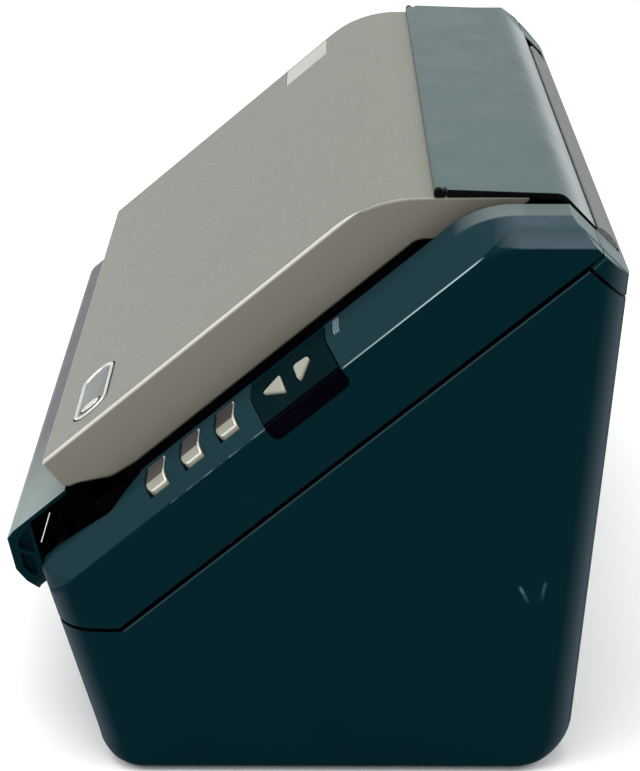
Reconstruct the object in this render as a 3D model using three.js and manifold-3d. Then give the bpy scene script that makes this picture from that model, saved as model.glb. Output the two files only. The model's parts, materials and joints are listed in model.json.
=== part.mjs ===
// A desktop sheet-fed document scanner. The paper drops in at the top rear, slides down the
// sloping path between the rear unit and the hinged front unit, and leaves at the front foot.
// Millimetres. +X is the right-hand side, the sloping front faces -Y, +Z is up, and the feet
// stand on z = 0.
import * as THREE from "three";
import { mergeVertices } from "three/addons/utils/BufferGeometryUtils.js";
import Module from "manifold-3d";

const wasm = await Module();
wasm.setup();

// ---- driving dimensions -------------------------------------------------------------------
const HALF_WIDTH = 156; // casing side plane
const FOOT_HEIGHT = 2;
const WALL = 2.5;
const GAP = 0.3; // between pieces that touch
const SLOPE = THREE.MathUtils.degToRad(40);
const SLOPE_START = [-77.3, 91.9]; // Y, Z of the front cover's front top edge

// Depths below the front cover's sloping top face, measured square to it.
const PANEL_DEPTH = 11.3; // front frame's visible panel
const SKIRT_DEPTH = 18.2; // front cover's lower edge
const CHEEK_DEPTH = 20.3; // flat top of the side cheeks
const CHAMFER_DEPTH = 27.6; // foot of the cheek's chamfer
const PATH_FRONT = 30; // paper path, front wall
const PATH_REAR = 38; // paper path, rear wall
const PARTING_DEPTH = 48.1; // joint between the lower and the upper casing

const CHEEK_INNER = 133; // half the channel between the cheeks
const CREASE = 146; // where the cheek's flat top turns into its chamfer
const FRONT_HALF = 130.5; // half the front unit's width
const LIP = -90.66; // the front frame's foremost edge
const COVER_TOP = 171.8; // flat rear part of the front cover
const COVER_REAR = 63;
const CHEEK_TOP = 170.7;
const CHAMFER_TOP = 164.4;
const SILL = 47.7; // parting line along the front
const SILL_END = -55.2;

const FRONT_WALL = { y: -62.9, z: 7.5, lean: 0.2843 }; // leans out as it rises
const BACK_WALL = { y: 79.4, z: 9, lean: 0.0775 };
const REAR_EDGE = [81.9, 163.1]; // where cheek, rear cover and parting line meet
const HINGE = [-73.8, 62.8]; // Y, Z of the front unit's hinge
const COVER_HINGE = [37.2, 173.2]; // Y, Z of the feed cover's hinge

const ROLLER = 9; // drive rollers' radius
const ROLLER_DEPTH = PATH_REAR + 5.2;
const FEED_AT = 110; // places along the slope
const DRIVE_AT = 78;
const EJECT_AT = 20;
const SCAN_AT = 53;
const PINCH = 7;
const PINCH_DEPTH = ROLLER_DEPTH - ROLLER - PINCH - 0.4;
const MOTOR_AT = [72, 84]; // along the slope, depth

const BUTTON_AT = [25.3, 38.7, 52];
const ARROW_AT = [71, 80.5];
const BEZEL = [62.5, 90];
const LAMP_X = [135.8, 145.6];
const LAMP_AT = [93.2, 95.4];

// ---- materials ----------------------------------------------------------------------------
function finish(color, roughness, metalness = 0) {
  return new THREE.MeshStandardMaterial({ color, roughness, metalness });
}
const DARK = finish(0x10282e, 0.5);
const CHAMPAGNE = finish(0x8f8a7c, 0.38, 0.3);
const STRIP = finish(0x6f7c78, 0.4);
const GREY = finish(0x7f8283, 0.8);
const BUTTON = finish(0xa5a596, 0.4, 0.2);
const GLOSS = finish(0x05060a, 0.1);
const RUBBER = finish(0x2b2b2b, 0.9);
const STEEL = finish(0xb8bcc0, 0.3, 1);
const PLATE = finish(0x9a9ea2, 0.45, 0.9);
const INNER = finish(0x1c1e20, 0.6);
const BOARD = finish(0x1f5a3a, 0.5);
const GLASS = finish(0xbfd4d6, 0.05);
const LAMP = finish(0x9fb8bc, 0.3);

// ---- solids -------------------------------------------------------------------------------
function solidOf(geometry) {
  geometry.deleteAttribute("normal");
  geometry.deleteAttribute("uv");
  const merged = mergeVertices(geometry, 1e-4);
  const vertProperties = merged.attributes.position.array;
  const triVerts = new Uint32Array(merged.index.array);
  return new wasm.Manifold(new wasm.Mesh({ numProp: 3, vertProperties, triVerts }));
}

function geometryOf(solid) {
  const mesh = solid.getMesh();
  const geometry = new THREE.BufferGeometry();
  geometry.setAttribute("position", new THREE.BufferAttribute(mesh.vertProperties, 3));
  geometry.setIndex(new THREE.BufferAttribute(mesh.triVerts, 1));
  const faceted = geometry.toNonIndexed();
  faceted.computeVertexNormals();
  return faceted;
}

function joined(first, ...others) {
  return others.reduce((whole, next) => whole.add(next), first);
}

function without(first, ...others) {
  return others.reduce((whole, next) => whole.subtract(next), first);
}

// A box by its lowest and highest corners.
function slab(x0, x1, y0, y1, z0, z1) {
  const box = new THREE.BoxGeometry(x1 - x0, y1 - y0, z1 - z0);
  return solidOf(box.translate((x0 + x1) / 2, (y0 + y1) / 2, (z0 + z1) / 2));
}

// An outline of [Y, Z] points drawn out along X.
const ALONG_X = new THREE.Matrix4().makeBasis(
  new THREE.Vector3(0, 1, 0),
  new THREE.Vector3(0, 0, 1),
  new THREE.Vector3(1, 0, 0),
);

function prism(points, x0, x1, holes = []) {
  const shape = new THREE.Shape(points.map(([y, z]) => new THREE.Vector2(y, z)));
  for (const hole of holes) {
    shape.holes.push(new THREE.Path(hole.map(([y, z]) => new THREE.Vector2(y, z))));
  }
  const options = { depth: x1 - x0, bevelEnabled: false, steps: 1 };
  const geometry = new THREE.ExtrudeGeometry(shape, options);
  return solidOf(geometry.applyMatrix4(ALONG_X).translate(x0, 0, 0));
}

// A round bar along X.
function bar(radius, x0, x1, y, z, sides = 16) {
  const round = new THREE.CylinderGeometry(radius, radius, x1 - x0, sides);
  return solidOf(round.rotateZ(Math.PI / 2).translate((x0 + x1) / 2, y, z));
}

// A turned piece about X: [radius, x] points, closed on themselves.
function turned(points, y, z, sides = 20) {
  const profile = [...points, points[0]].map(([r, x]) => new THREE.Vector2(r, x));
  const geometry = new THREE.LatheGeometry(profile, sides).rotateZ(-Math.PI / 2);
  const solid = solidOf(geometry.translate(0, y, z));
  return solid.volume() < 0 ? flipped(geometry) : solid;
}

function flipped(geometry) {
  const faces = geometry.index.array;
  for (let i = 0; i < faces.length; i += 3) {
    [faces[i + 1], faces[i + 2]] = [faces[i + 2], faces[i + 1]];
  }
  return solidOf(geometry);
}

// A closed skin through rings that have the same number of corners. flat maps a corner to
// the plane in which the two end rings are filled.
function loft(rings, flat) {
  const corners = rings[0].length;
  const index = [];
  for (let level = 1; level < rings.length; level++) {
    for (let i = 0; i < corners; i++) {
      const a = (level - 1) * corners + i;
      const b = (level - 1) * corners + ((i + 1) % corners);
      index.push(a, b, b + corners, a, b + corners, a + corners);
    }
  }
  for (const level of [0, rings.length - 1]) {
    const contour = rings[level].map(flat);
    const turn = THREE.ShapeUtils.area(contour);
    for (const face of THREE.ShapeUtils.triangulateShape(contour, [])) {
      const same = THREE.ShapeUtils.area(face.map((i) => contour[i])) * turn > 0;
      const order = same === level > 0 ? face : [face[0], face[2], face[1]];
      index.push(...order.map((i) => i + level * corners));
    }
  }
  const geometry = new THREE.BufferGeometry();
  const positions = new Float32Array(rings.flat(2));
  geometry.setAttribute("position", new THREE.BufferAttribute(positions, 3));
  geometry.setIndex(index);
  const solid = solidOf(geometry);
  return solid.volume() < 0 ? flipped(geometry) : solid;
}

// ---- outlines -----------------------------------------------------------------------------
function arc(y, z, radius, fromDegrees, toDegrees, steps) {
  return Array.from({ length: steps + 1 }, (_, i) => {
    const angle = ((fromDegrees + ((toDegrees - fromDegrees) * i) / steps) * Math.PI) / 180;
    return [y + radius * Math.cos(angle), z + radius * Math.sin(angle)];
  });
}

// Rounds the corner between three points with an arc of the given radius.
function rounded(before, corner, after, radius, steps) {
  const [p, c, n] = [before, corner, after].map(([y, z]) => new THREE.Vector2(y, z));
  const back = p.clone().sub(c).normalize();
  const ahead = n.clone().sub(c).normalize();
  const half = Math.acos(THREE.MathUtils.clamp(back.dot(ahead), -1, 1)) / 2;
  const start = c.clone().addScaledVector(back, radius / Math.tan(half));
  const middle = back.clone().add(ahead).normalize();
  const centre = c.clone().addScaledVector(middle, radius / Math.sin(half));
  const turn = Math.sign(back.cross(ahead)) * (2 * half - Math.PI);
  return Array.from({ length: steps + 1 }, (_, i) => {
    const point = start.clone().rotateAround(centre, (turn * i) / steps);
    return [point.x, point.y];
  });
}

// Y, Z of a point s along the slope and d below the front cover's top face.
function onSlope(s, d) {
  const [c, k] = [Math.cos(SLOPE), Math.sin(SLOPE)];
  return [SLOPE_START[0] + s * c + d * k, SLOPE_START[1] + s * k - d * c];
}

// Where the line at depth d below the slope reaches the height z.
function slopeAtHeight(d, z) {
  const s = (z - SLOPE_START[1] + d * Math.cos(SLOPE)) / Math.sin(SLOPE);
  return onSlope(s, d);
}

// ---- casing body --------------------------------------------------------------------------
function wallAt(wall, z) {
  return wall.y + Math.sign(wall.y) * wall.lean * (z - wall.z);
}

function roundedSection(z, inset, radius) {
  const x = HALF_WIDTH - inset;
  const front = wallAt(FRONT_WALL, z) + inset;
  const back = wallAt(BACK_WALL, z) - inset;
  const r = Math.max(radius - inset, 1);
  const corners = [
    [x - r, back - r, 0],
    [-x + r, back - r, 90],
    [-x + r, front + r, 180],
    [x - r, front + r, 270],
  ];
  return corners.flatMap(([cx, cy, a]) => arc(cx, cy, r, a, a + 90, 5).map((p) => [...p, z]));
}

// The casing's leaning box with rounded upright corners and a rounded foot.
function bodyLoft(inset) {
  const foot = 5.5;
  const levels = inset
    ? [[FOOT_HEIGHT + inset, 3], [FOOT_HEIGHT + inset + 4, 0]]
    : [0, 0.3, 0.65, 1].map((t) => [FOOT_HEIGHT + foot * t, foot * (1 - Math.sin(Math.acos(1 - t)))]);
  levels.push([190, 0]);
  const rings = levels.map(([z, more]) => roundedSection(z, inset + more, 12.5 + inset));
  return loft(rings, ([x, y]) => new THREE.Vector2(x, y));
}

// Parting line between lower and upper casing, from the front to the rear edge.
const PARTING_END = slopeAtHeight(PARTING_DEPTH, REAR_EDGE[1] - 0.7);

function cheekOutline(depth, top, front, inset) {
  const slopeTop = slopeAtHeight(depth, top - inset);
  const rearTop = [REAR_EDGE[0] + REAR_EDGE[1] - top - 0.4 * inset, top - inset];
  return [
    [-97, SILL],
    [SILL_END, SILL],
    PARTING_END,
    [REAR_EDGE[0] - 1.4 * inset, REAR_EDGE[1]],
    rearTop,
    ...rounded(rearTop, slopeTop, front[0], 28, 5),
    ...front,
  ];
}

// The cheek's full section: side plane, chamfer, then flat top all the way across. At the
// front the side plane's edge levels out, while the flat top droops to the front wall.
function cheekBody(inset, inner) {
  const [low, high] = [CHAMFER_DEPTH + inset, CHEEK_DEPTH + inset];
  const level = 63 - inset;
  const upSlope = slopeAtHeight(low, 100);
  const levelled = rounded(upSlope, slopeAtHeight(low, level), [-97, level], 12, 2);
  const drooped = rounded(slopeAtHeight(high, 100), slopeAtHeight(high, 67.5), [-88, 49], 10, 2);
  const side = cheekOutline(low, CHAMFER_TOP, [...levelled, [-97, level]], inset);
  const flatTop = cheekOutline(high, CHEEK_TOP, [...drooped, [-88, 49]], inset);
  const at = (outline, x) => outline.map(([y, z]) => [x, y, z]);
  const rings = [
    at(flatTop, inner),
    at(flatTop, CREASE - 0.5 * inset),
    at(side, HALF_WIDTH - inset),
  ];
  return loft(rings, ([, y, z]) => new THREE.Vector2(y, z));
}

function mirrored(solid) {
  return solid.mirror([1, 0, 0]);
}

function bothSides(solid) {
  return solid.add(mirrored(solid));
}

// A box in the slope's own frame, given along X, along the slope and by depth.
function sloped(x0, x1, s0, s1, d0, d1) {
  const corners = [onSlope(s0, d0), onSlope(s1, d0), onSlope(s1, d1), onSlope(s0, d1)];
  return prism(corners, x0, x1);
}

const BUTTON_SIZE = 6.8; // along the slope
const BUTTON_X = [135.6, 150.5];

function lowerCasing() {
  const outline = [
    [-97, -5],
    [-97, SILL - 0.7],
    [SILL_END + 0.2, SILL - 0.7],
    slopeAtHeight(PARTING_DEPTH + 0.6, 158.3),
    [88.9, 147.9],
    [99, 137.8],
    [99, -5],
  ];
  const shell = bodyLoft(0).intersect(prism(outline, -160, 160));
  const exitNotch = slab(-132, 132, -99, -66, 44.3, 60);
  const floorOpening = slab(-118, 118, -40, 52, 0, 9);
  const screwHoles = SCREW_PLACES.map(([x, y]) => post(2, 0, 9, x, y, 10));
  return without(
    shell,
    bodyLoft(WALL),
    exitNotch,
    floorOpening,
    ...screwHoles,
    slab(29, 43.2, 70, 90, 10.6, 22.4), // data socket
    slab(-41.4, -28.6, 70, 90, 10.6, 22.4), // power inlet
    slab(-76, -54, 70, 90, 12, 26), // power switch
  );
}

// Hollows the cheek's inner top edge beside the front panel; SCOOP holds s and the X reached.
const SCOOP = [[-21, 138.8], [-15, 141.6], [-6, 144], [1, 145.5], [8.7, 147], [14.5, 140], [19, 135.2]];

function cheekScoop() {
  const foot = CHEEK_INNER - 5;
  const rings = SCOOP.map(([s, x]) => [
    [foot, ...onSlope(s, CHEEK_DEPTH - 10)],
    [x, ...onSlope(s, CHEEK_DEPTH - 10)],
    [x, ...onSlope(s, CHEEK_DEPTH)],
    [foot, ...onSlope(s, CHEEK_DEPTH + 0.577 * (x - foot))],
  ]);
  return loft(rings, ([x, , z]) => new THREE.Vector2(x, z));
}

function upperCasing() {
  const cheek = cheekBody(0, CHEEK_INNER).intersect(bodyLoft(0));
  const lowered = cheekBody(WALL, CHEEK_INNER + WALL);
  const below = cheekBody(WALL, CHEEK_INNER + WALL).translate([0, 6, -7]);
  const hollow = lowered.add(below).intersect(bodyLoft(WALL));
  const shell = bothSides(cheek.subtract(hollow));
  const frontBar = prism([[-66.5, SILL], [SILL_END, SILL], [SILL_END, 56.3]], -134, 134);
  const bridge = [[152, 47.6], [152, 42], [163, 42], [165.4, 45.4], [165.2, 47.6]];
  const rearBar = prism(bridge.map(([s, d]) => onSlope(s, d)), -134, 134);
  const buttonHoles = BUTTON_AT.map((s) => {
    const half = BUTTON_SIZE / 2 + 0.4;
    return sloped(BUTTON_X[0] - 0.4, BUTTON_X[1] + 0.5, s - half, s + half, 15, 34);
  });
  return without(
    joined(shell, frontBar, rearBar),
    bar(2.3, -136, 136, ...HINGE),
    bothSides(cheekScoop()),
    ...buttonHoles,
    sloped(136.4, 160, BEZEL[0] - GAP, BEZEL[1] + GAP, 15, 32.6),
    sloped(LAMP_X[0] - GAP, LAMP_X[1] + GAP, LAMP_AT[0] - GAP, LAMP_AT[1] + GAP, 15, 34),
  );
}

// Closes the body behind the paper slot; the paper support slides up through it.
function rearTopCover() {
  const outline = [
    slopeAtHeight(PARTING_DEPTH + 0.2, 159.4),
    [89.3, 148.3],
    [99, 138.6],
    [99, 146],
    [82.3, 162.7],
  ];
  const slot = [[80, 158.5], [84.6, 153.6], [89.3, 153.6], [89.3, 165], [80, 168]];
  const plateSlot = slab(-94.6, 129.8, 83.2, 86.4, 140, 160);
  const hollow = slab(-131.6, 131.6, 70, 83, 150, 161);
  return without(
    bodyLoft(0).intersect(prism(outline, -160, 160)),
    prism(slot, -131.8, 131.4),
    plateSlot,
    hollow,
  );
}

// ---- upright round pieces -----------------------------------------------------------------
function post(radius, z0, z1, x, y, sides = 16) {
  const round = new THREE.CylinderGeometry(radius, radius, z1 - z0, sides);
  return solidOf(round.rotateX(Math.PI / 2).translate(x, y, (z0 + z1) / 2));
}

const FOOT_PLACES = [[-134, -44], [134, -44], [-134, 60], [134, 60]];
const SCREW_PLACES = [[-121.5, -30], [121.5, -30], [-121.5, 42], [121.5, 42]];

function foot([x, y]) {
  const profile = [[0, 0], [8, 0], [9, 0.8], [9, FOOT_HEIGHT - GAP], [0, FOOT_HEIGHT - GAP]];
  const turnedFoot = new THREE.LatheGeometry(profile.map((p) => new THREE.Vector2(...p)), 20);
  return solidOf(turnedFoot.rotateX(Math.PI / 2).translate(x, y, 0));
}

function baseScrew([x, y]) {
  const head = post(3.2, 0.7, FOOT_HEIGHT - GAP, x, y, 14);
  const shank = post(1.6, FOOT_HEIGHT - 0.5, 8, x, y, 10);
  const driveSlot = slab(x - 2, x + 2, y - 0.4, y + 0.4, 0, 1.2);
  return head.add(shank).subtract(driveSlot);
}

function basePlate() {
  const plate = slab(-126, 126, -46, 58, 4.8, 6.2);
  const holes = SCREW_PLACES.map(([x, y]) => post(2, 0, 9, x, y, 10));
  return without(plate, ...holes);
}

// ---- rear unit, drawn in the slope's own frame: y along the slope, z = -depth -------------
function flatPlate(x0, x1, s0, s1, d0, d1) {
  return slab(x0, x1, s0, s1, -d1, -d0);
}

const WINDOWS = [[FEED_AT, 31], [DRIVE_AT, 62], [EJECT_AT, 62]];
const PATH_HALF = 122; // half the guide plates' width

function rearGuidePlate() {
  const plate = flatPlate(-PATH_HALF, PATH_HALF, -15, 161, PATH_REAR, PATH_REAR + 2);
  const windows = WINDOWS.map(([s, half]) => flatPlate(-half, half, s - 10, s + 10, 30, 45));
  const scanWindow = flatPlate(-113, 113, SCAN_AT - 6, SCAN_AT + 6, 30, 45);
  const slots = [-1, 1].map((side) => {
    const [from, to] = [50, 113].map((x) => x * side).sort((a, b) => a - b);
    return flatPlate(from, to, GUIDE_AT - 1.8, GUIDE_AT + 1.8, 30, 45);
  });
  return without(plate, ...windows, scanWindow, ...slots);
}

function rearScanModule() {
  const box = flatPlate(-116, 116, SCAN_AT - 11, SCAN_AT + 11, 40.3, 57);
  const trough = flatPlate(-110, 110, SCAN_AT - 5, SCAN_AT + 5, 39, 50);
  return box.subtract(trough);
}

function scanGlass(depth) {
  return flatPlate(-112.6, 112.6, SCAN_AT - 5.6, SCAN_AT + 5.6, depth, depth + 1.7);
}

function shaftHoles(x0, x1, places, depth, radius) {
  return places.map((s) => bar(radius, x0, x1, s, -depth, 14));
}

const SHAFTS = [FEED_AT, DRIVE_AT, EJECT_AT];

// Sheet-metal cheeks that carry the roller shafts; the left one also carries the motor.
function sideFrame(side) {
  const plain = [[-6, -41], [138, -41], [138, -47], [120, -62], [8, -62], [-6, -50]];
  const lobed = [...plain.slice(0, 4), [112, -98], [44, -98], ...plain.slice(4)];
  const outline = side < 0 ? lobed : plain;
  const [x0, x1] = side < 0 ? [-120.5, -119] : [119, 120.5];
  return without(
    prism(outline, x0, x1),
    ...shaftHoles(-125, 125, SHAFTS, ROLLER_DEPTH, 3.3),
    bar(3.3, -125, -110, MOTOR_AT[0], -MOTOR_AT[1]),
    flatPlate(-125, 125, SCAN_AT - 12, SCAN_AT + 12, 39, 58),
  );
}

function rollerShaft(s) {
  const x0 = -129;
  return joined(
    bar(3, x0, 122.5, s, -ROLLER_DEPTH, 14),
    bar(4.4, x0, -123.5, s, -ROLLER_DEPTH, 18),
    bar(5.4, x0 - 1, x0, s, -ROLLER_DEPTH, 18),
  );
}

// Rubber tyres on a common sleeve, one pair per half width.
function rollerSleeve(s, centres, half) {
  const [bore, core] = [3.3, 5.5];
  const edges = centres.flatMap((x) => [
    [core, x - half],
    [ROLLER, x - half],
    [ROLLER, x + half],
    [core, x + half],
  ]);
  const [x0, x1] = [edges[0][1], edges[edges.length - 1][1]];
  return turned([[bore, x0], ...edges, [bore, x1]], s, -ROLLER_DEPTH, 20);
}

function driveMotor() {
  return joined(
    bar(16, -118.5, -76, MOTOR_AT[0], -MOTOR_AT[1], 24),
    bar(6, -76.5, -72, MOTOR_AT[0], -MOTOR_AT[1], 16),
  );
}

const BELT_PITCH = 4.7; // shaft pulleys with the belt's clearance
const MOTOR_PULLEY = 6;

function motorPulley() {
  return joined(
    bar(2, -129, -118.8, MOTOR_AT[0], -MOTOR_AT[1], 12),
    bar(MOTOR_PULLEY, -129, -123.5, MOTOR_AT[0], -MOTOR_AT[1], 20),
    bar(MOTOR_PULLEY + 1.2, -130, -129, MOTOR_AT[0], -MOTOR_AT[1], 20),
  );
}

// The belt's line round the feed, eject and motor pulleys, offset outwards.
function beltLine(extra) {
  const wheels = [
    [FEED_AT, -ROLLER_DEPTH, BELT_PITCH + extra],
    [EJECT_AT, -ROLLER_DEPTH, BELT_PITCH + extra],
    [MOTOR_AT[0], -MOTOR_AT[1], MOTOR_PULLEY + GAP + extra],
  ];
  return wheels.flatMap(([y, z, r], i) => {
    const normalTo = (other) => {
      const [dy, dz] = [other[0] - y, other[1] - z];
      const along = Math.atan2(dz, dy);
      return along - Math.acos((r - other[2]) / Math.hypot(dy, dz));
    };
    const leave = normalTo(wheels[(i + 1) % 3]);
    const back = wheels[(i + 2) % 3];
    const along = Math.atan2(back[1] - z, back[0] - y);
    const arrive = along + Math.acos((r - back[2]) / Math.hypot(back[0] - y, back[1] - z));
    const turn = THREE.MathUtils.euclideanModulo(leave - arrive, 2 * Math.PI);
    const [from, to] = [arrive, arrive + turn].map(THREE.MathUtils.radToDeg);
    return arc(y, z, r, from, to, 8);
  });
}

function driveBelt() {
  return prism(beltLine(1), -128.5, -124, [beltLine(0)]);
}

// ---- paper guides -------------------------------------------------------------------------
const GUIDE_AT = 136;
const GUIDE_X = 110;
const PINION = 10;
const TEETH = 16;

function sideGuide(side) {
  const at = (x0, x1) => (side > 0 ? [x0, x1] : [-x1, -x0]);
  const down = (near, far) => [GUIDE_AT - side * near, GUIDE_AT - side * far].sort((a, b) => a - b);
  return joined(
    flatPlate(...at(GUIDE_X - 1, GUIDE_X + 1), 127, 158, 31.2, PATH_REAR - GAP),
    flatPlate(...at(GUIDE_X - 2, GUIDE_X + 2), GUIDE_AT - 1.4, GUIDE_AT + 1.4, PATH_REAR - 1, 42),
    flatPlate(...at(GUIDE_X - 5, GUIDE_X + 5), ...down(-7, PINION + 4), 41, 43),
    flatPlate(...at(-24, GUIDE_X), ...down(PINION + 1.1, PINION + 4.1), 41, 43),
  );
}

function guidePinion() {
  const points = Array.from({ length: TEETH * 2 }, (_, i) => {
    const angle = (i / TEETH) * Math.PI;
    const radius = PINION + (i % 2 ? -1.3 : 0.7);
    return [radius * Math.cos(angle), GUIDE_AT + radius * Math.sin(angle)];
  });
  const shape = new THREE.Shape(points.map((p) => new THREE.Vector2(...p)));
  const geometry = new THREE.ExtrudeGeometry(shape, { depth: 2, bevelEnabled: false });
  return solidOf(geometry.translate(0, 0, -43));
}

// ---- paper support ------------------------------------------------------------------------
const SUPPORT_LEAN = Math.atan(BACK_WALL.lean);
const SUPPORT_TRAVEL_TOP = [84.8, 152];
const GRIP_END = -108; // leaves a finger space beside the grip

function feedSupport() {
  const grip = [
    [82.8, 163.1],
    [83.4, 163.2],
    [86.4, 160.9],
    [88.6, 158.2],
    [88.7, 157],
    [87.8, 154.6],
    [84.9, 154.6],
    [82.8, 156.8],
  ];
  const [y, z] = SUPPORT_TRAVEL_TOP;
  const down = (length) => [y - length * Math.sin(SUPPORT_LEAN), z - length * Math.cos(SUPPORT_LEAN)];
  const [footY, footZ] = down(86);
  const plate = [
    [y - 1.2, z + 4],
    [footY - 1.2, footZ],
    [footY + 1.2, footZ],
    [y + 1.2, z + 4],
  ];
  return prism(grip, GRIP_END, 131).add(prism(plate, -94, 129.2));
}

// ---- controls -----------------------------------------------------------------------------
// An L-shaped key: it follows the cheek's flat top and folds down over the chamfer.
function cheekSkin(x) {
  const t = THREE.MathUtils.clamp((x - CREASE) / (HALF_WIDTH - CREASE), 0, 1);
  return CHEEK_DEPTH + (CHAMFER_DEPTH - CHEEK_DEPTH) * t;
}

function alongSlope(points, s0, s1) {
  const shape = new THREE.Shape(points.map(([x, d]) => new THREE.Vector2(x, -d)));
  const geometry = new THREE.ExtrudeGeometry(shape, { depth: s1 - s0, bevelEnabled: false });
  return solidOf(geometry.rotateX(Math.PI / 2).translate(0, s1, 0));
}

function functionButton(s) {
  const [x0, x1] = BUTTON_X;
  const proud = 0.6;
  const outline = [
    [x0, 27.5],
    [x0, cheekSkin(x0) - proud],
    [CREASE + 0.6, cheekSkin(CREASE) - proud],
    [x1, cheekSkin(x1) - proud],
    [x1, 27.5],
  ];
  return alongSlope(outline, s - BUTTON_SIZE / 2, s + BUTTON_SIZE / 2);
}

const ARROW_X = [142.5, 151.5];

// A triangular key whose tip points down the slope (-1) or up it (+1).
function arrowShape(s, way, grow) {
  const middle = (ARROW_X[0] + ARROW_X[1]) / 2;
  return [
    [middle, s + way * (4 + grow)],
    [ARROW_X[0] - grow, s - way * (3.4 + grow)],
    [ARROW_X[1] + grow, s - way * (3.4 + grow)],
  ];
}

function arrowBlock(s, way, grow, d0, d1) {
  const shape = new THREE.Shape(arrowShape(s, way, grow).map((p) => new THREE.Vector2(...p)));
  const geometry = new THREE.ExtrudeGeometry(shape, { depth: d1 - d0, bevelEnabled: false });
  return solidOf(geometry.translate(0, 0, -d1));
}

function skinBlock(proud, x0, x1, s0, s1) {
  const outline = [
    [x0, 40],
    [x0, cheekSkin(x0) - proud],
    [CREASE, cheekSkin(CREASE) - proud],
    [x1, cheekSkin(x1) - proud],
    [x1, 40],
  ];
  return alongSlope(outline, s0, s1);
}

function arrowButton(s, way) {
  const cap = arrowBlock(s, way, 0, 15, 29);
  return cap.intersect(skinBlock(0.8, 130, 155, s - 10, s + 10));
}

const WINDOW_FOOT = 32.4;

function controlBezel() {
  const outline = [
    [136.7, cheekSkin(136.7)],
    [CREASE, CHEEK_DEPTH],
    [154.6, cheekSkin(154.6)],
    [152.9, CHAMFER_DEPTH + 0.6],
    [CREASE - 1, CHEEK_DEPTH + 2.4],
    [136.7, cheekSkin(136.7) + 2.4],
  ];
  const plate = alongSlope(outline, ...BEZEL);
  const holes = ARROW_AT.map((s, i) => arrowBlock(s, i ? 1 : -1, 0.5, 10, 40));
  return without(plate, ...holes);
}

function displayWindow() {
  const outline = [
    [155, cheekSkin(155)],
    [HALF_WIDTH, CHAMFER_DEPTH],
    [HALF_WIDTH, WINDOW_FOOT],
    [153.7, WINDOW_FOOT],
    [153.7, CHAMFER_DEPTH + 0.6],
  ];
  return alongSlope(outline, ...BEZEL);
}

function powerLamp() {
  return flatPlate(...LAMP_X, ...LAMP_AT, CHEEK_DEPTH - 0.2, 24.5);
}

// ---- front unit ---------------------------------------------------------------------------
function frontCover() {
  const [y0, z0] = SLOPE_START;
  const corner = slopeAtHeight(0, COVER_TOP);
  const start = [y0, z0];
  const rearTop = [COVER_REAR, COVER_TOP];
  const top = rounded(start, corner, rearTop, 38, 8);
  const frontFoot = onSlope(-3, 10.9);
  const frontTop = rounded(frontFoot, onSlope(-3, 0), corner, 1.6, 2);
  const skirtEnd = slopeAtHeight(SKIRT_DEPTH, 159.5);
  const skirt = [[1.8, 12.4], [10.5, 17.1]].map(([s, d]) => onSlope(s, d));
  const outline = [
    ...frontTop,
    ...top,
    rearTop,
    [COVER_REAR, COVER_TOP - 0.7],
    slopeAtHeight(PATH_FRONT - 0.4, 159.5),
    skirtEnd,
    onSlope(19, SKIRT_DEPTH),
    ...skirt.reverse(),
    frontFoot,
  ];
  const inner = [
    onSlope(-0.5, 40),
    onSlope(-0.5, WALL),
    ...rounded(onSlope(-0.5, WALL), slopeAtHeight(WALL, COVER_TOP - WALL), [COVER_REAR, COVER_TOP - WALL], 36, 6),
    slopeAtHeight(PATH_FRONT - 2.9, COVER_TOP - WALL),
    slopeAtHeight(PATH_FRONT - 2.9, 140),
  ];
  const half = FRONT_HALF + 0.5;
  const hollow = prism(inner, -half + WALL, half - WALL);
  return without(prism(outline, -half, half), hollow, badgePocket(GAP), namePocket(GAP));
}

const BADGE = { x: 101, s: 15, length: 38, width: 13 };
const NAME_PLATE = { x: -117, s: 97.5, length: 24, width: 20 };
const POCKET = 0.8;

function placedOnSlope(solid) {
  const angle = THREE.MathUtils.radToDeg(SLOPE);
  return solid.rotate([angle, 0, 0]).translate([0, ...SLOPE_START]);
}

function racetrack({ x, s, length, width }, grow, d0, d1) {
  const r = width / 2 + grow;
  const run = (length - width) / 2;
  const points = [...arc(x + run, s, r, -90, 90, 10), ...arc(x - run, s, r, 90, 270, 10)];
  const shape = new THREE.Shape(points.map((p) => new THREE.Vector2(...p)));
  const geometry = new THREE.ExtrudeGeometry(shape, { depth: d1 - d0, bevelEnabled: false });
  return solidOf(geometry.translate(0, 0, -d1));
}

function badgePocket(grow) {
  return placedOnSlope(racetrack(BADGE, grow, -5, POCKET + GAP));
}

function namePlate(grow, d0, d1) {
  const { x, s, length, width } = NAME_PLATE;
  const [a, b] = [length / 2 + grow, width / 2 + grow];
  return flatPlate(x - a, x + a, s - b, s + b, d0, d1);
}

function namePocket(grow) {
  return placedOnSlope(namePlate(grow, -5, POCKET + GAP));
}

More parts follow.
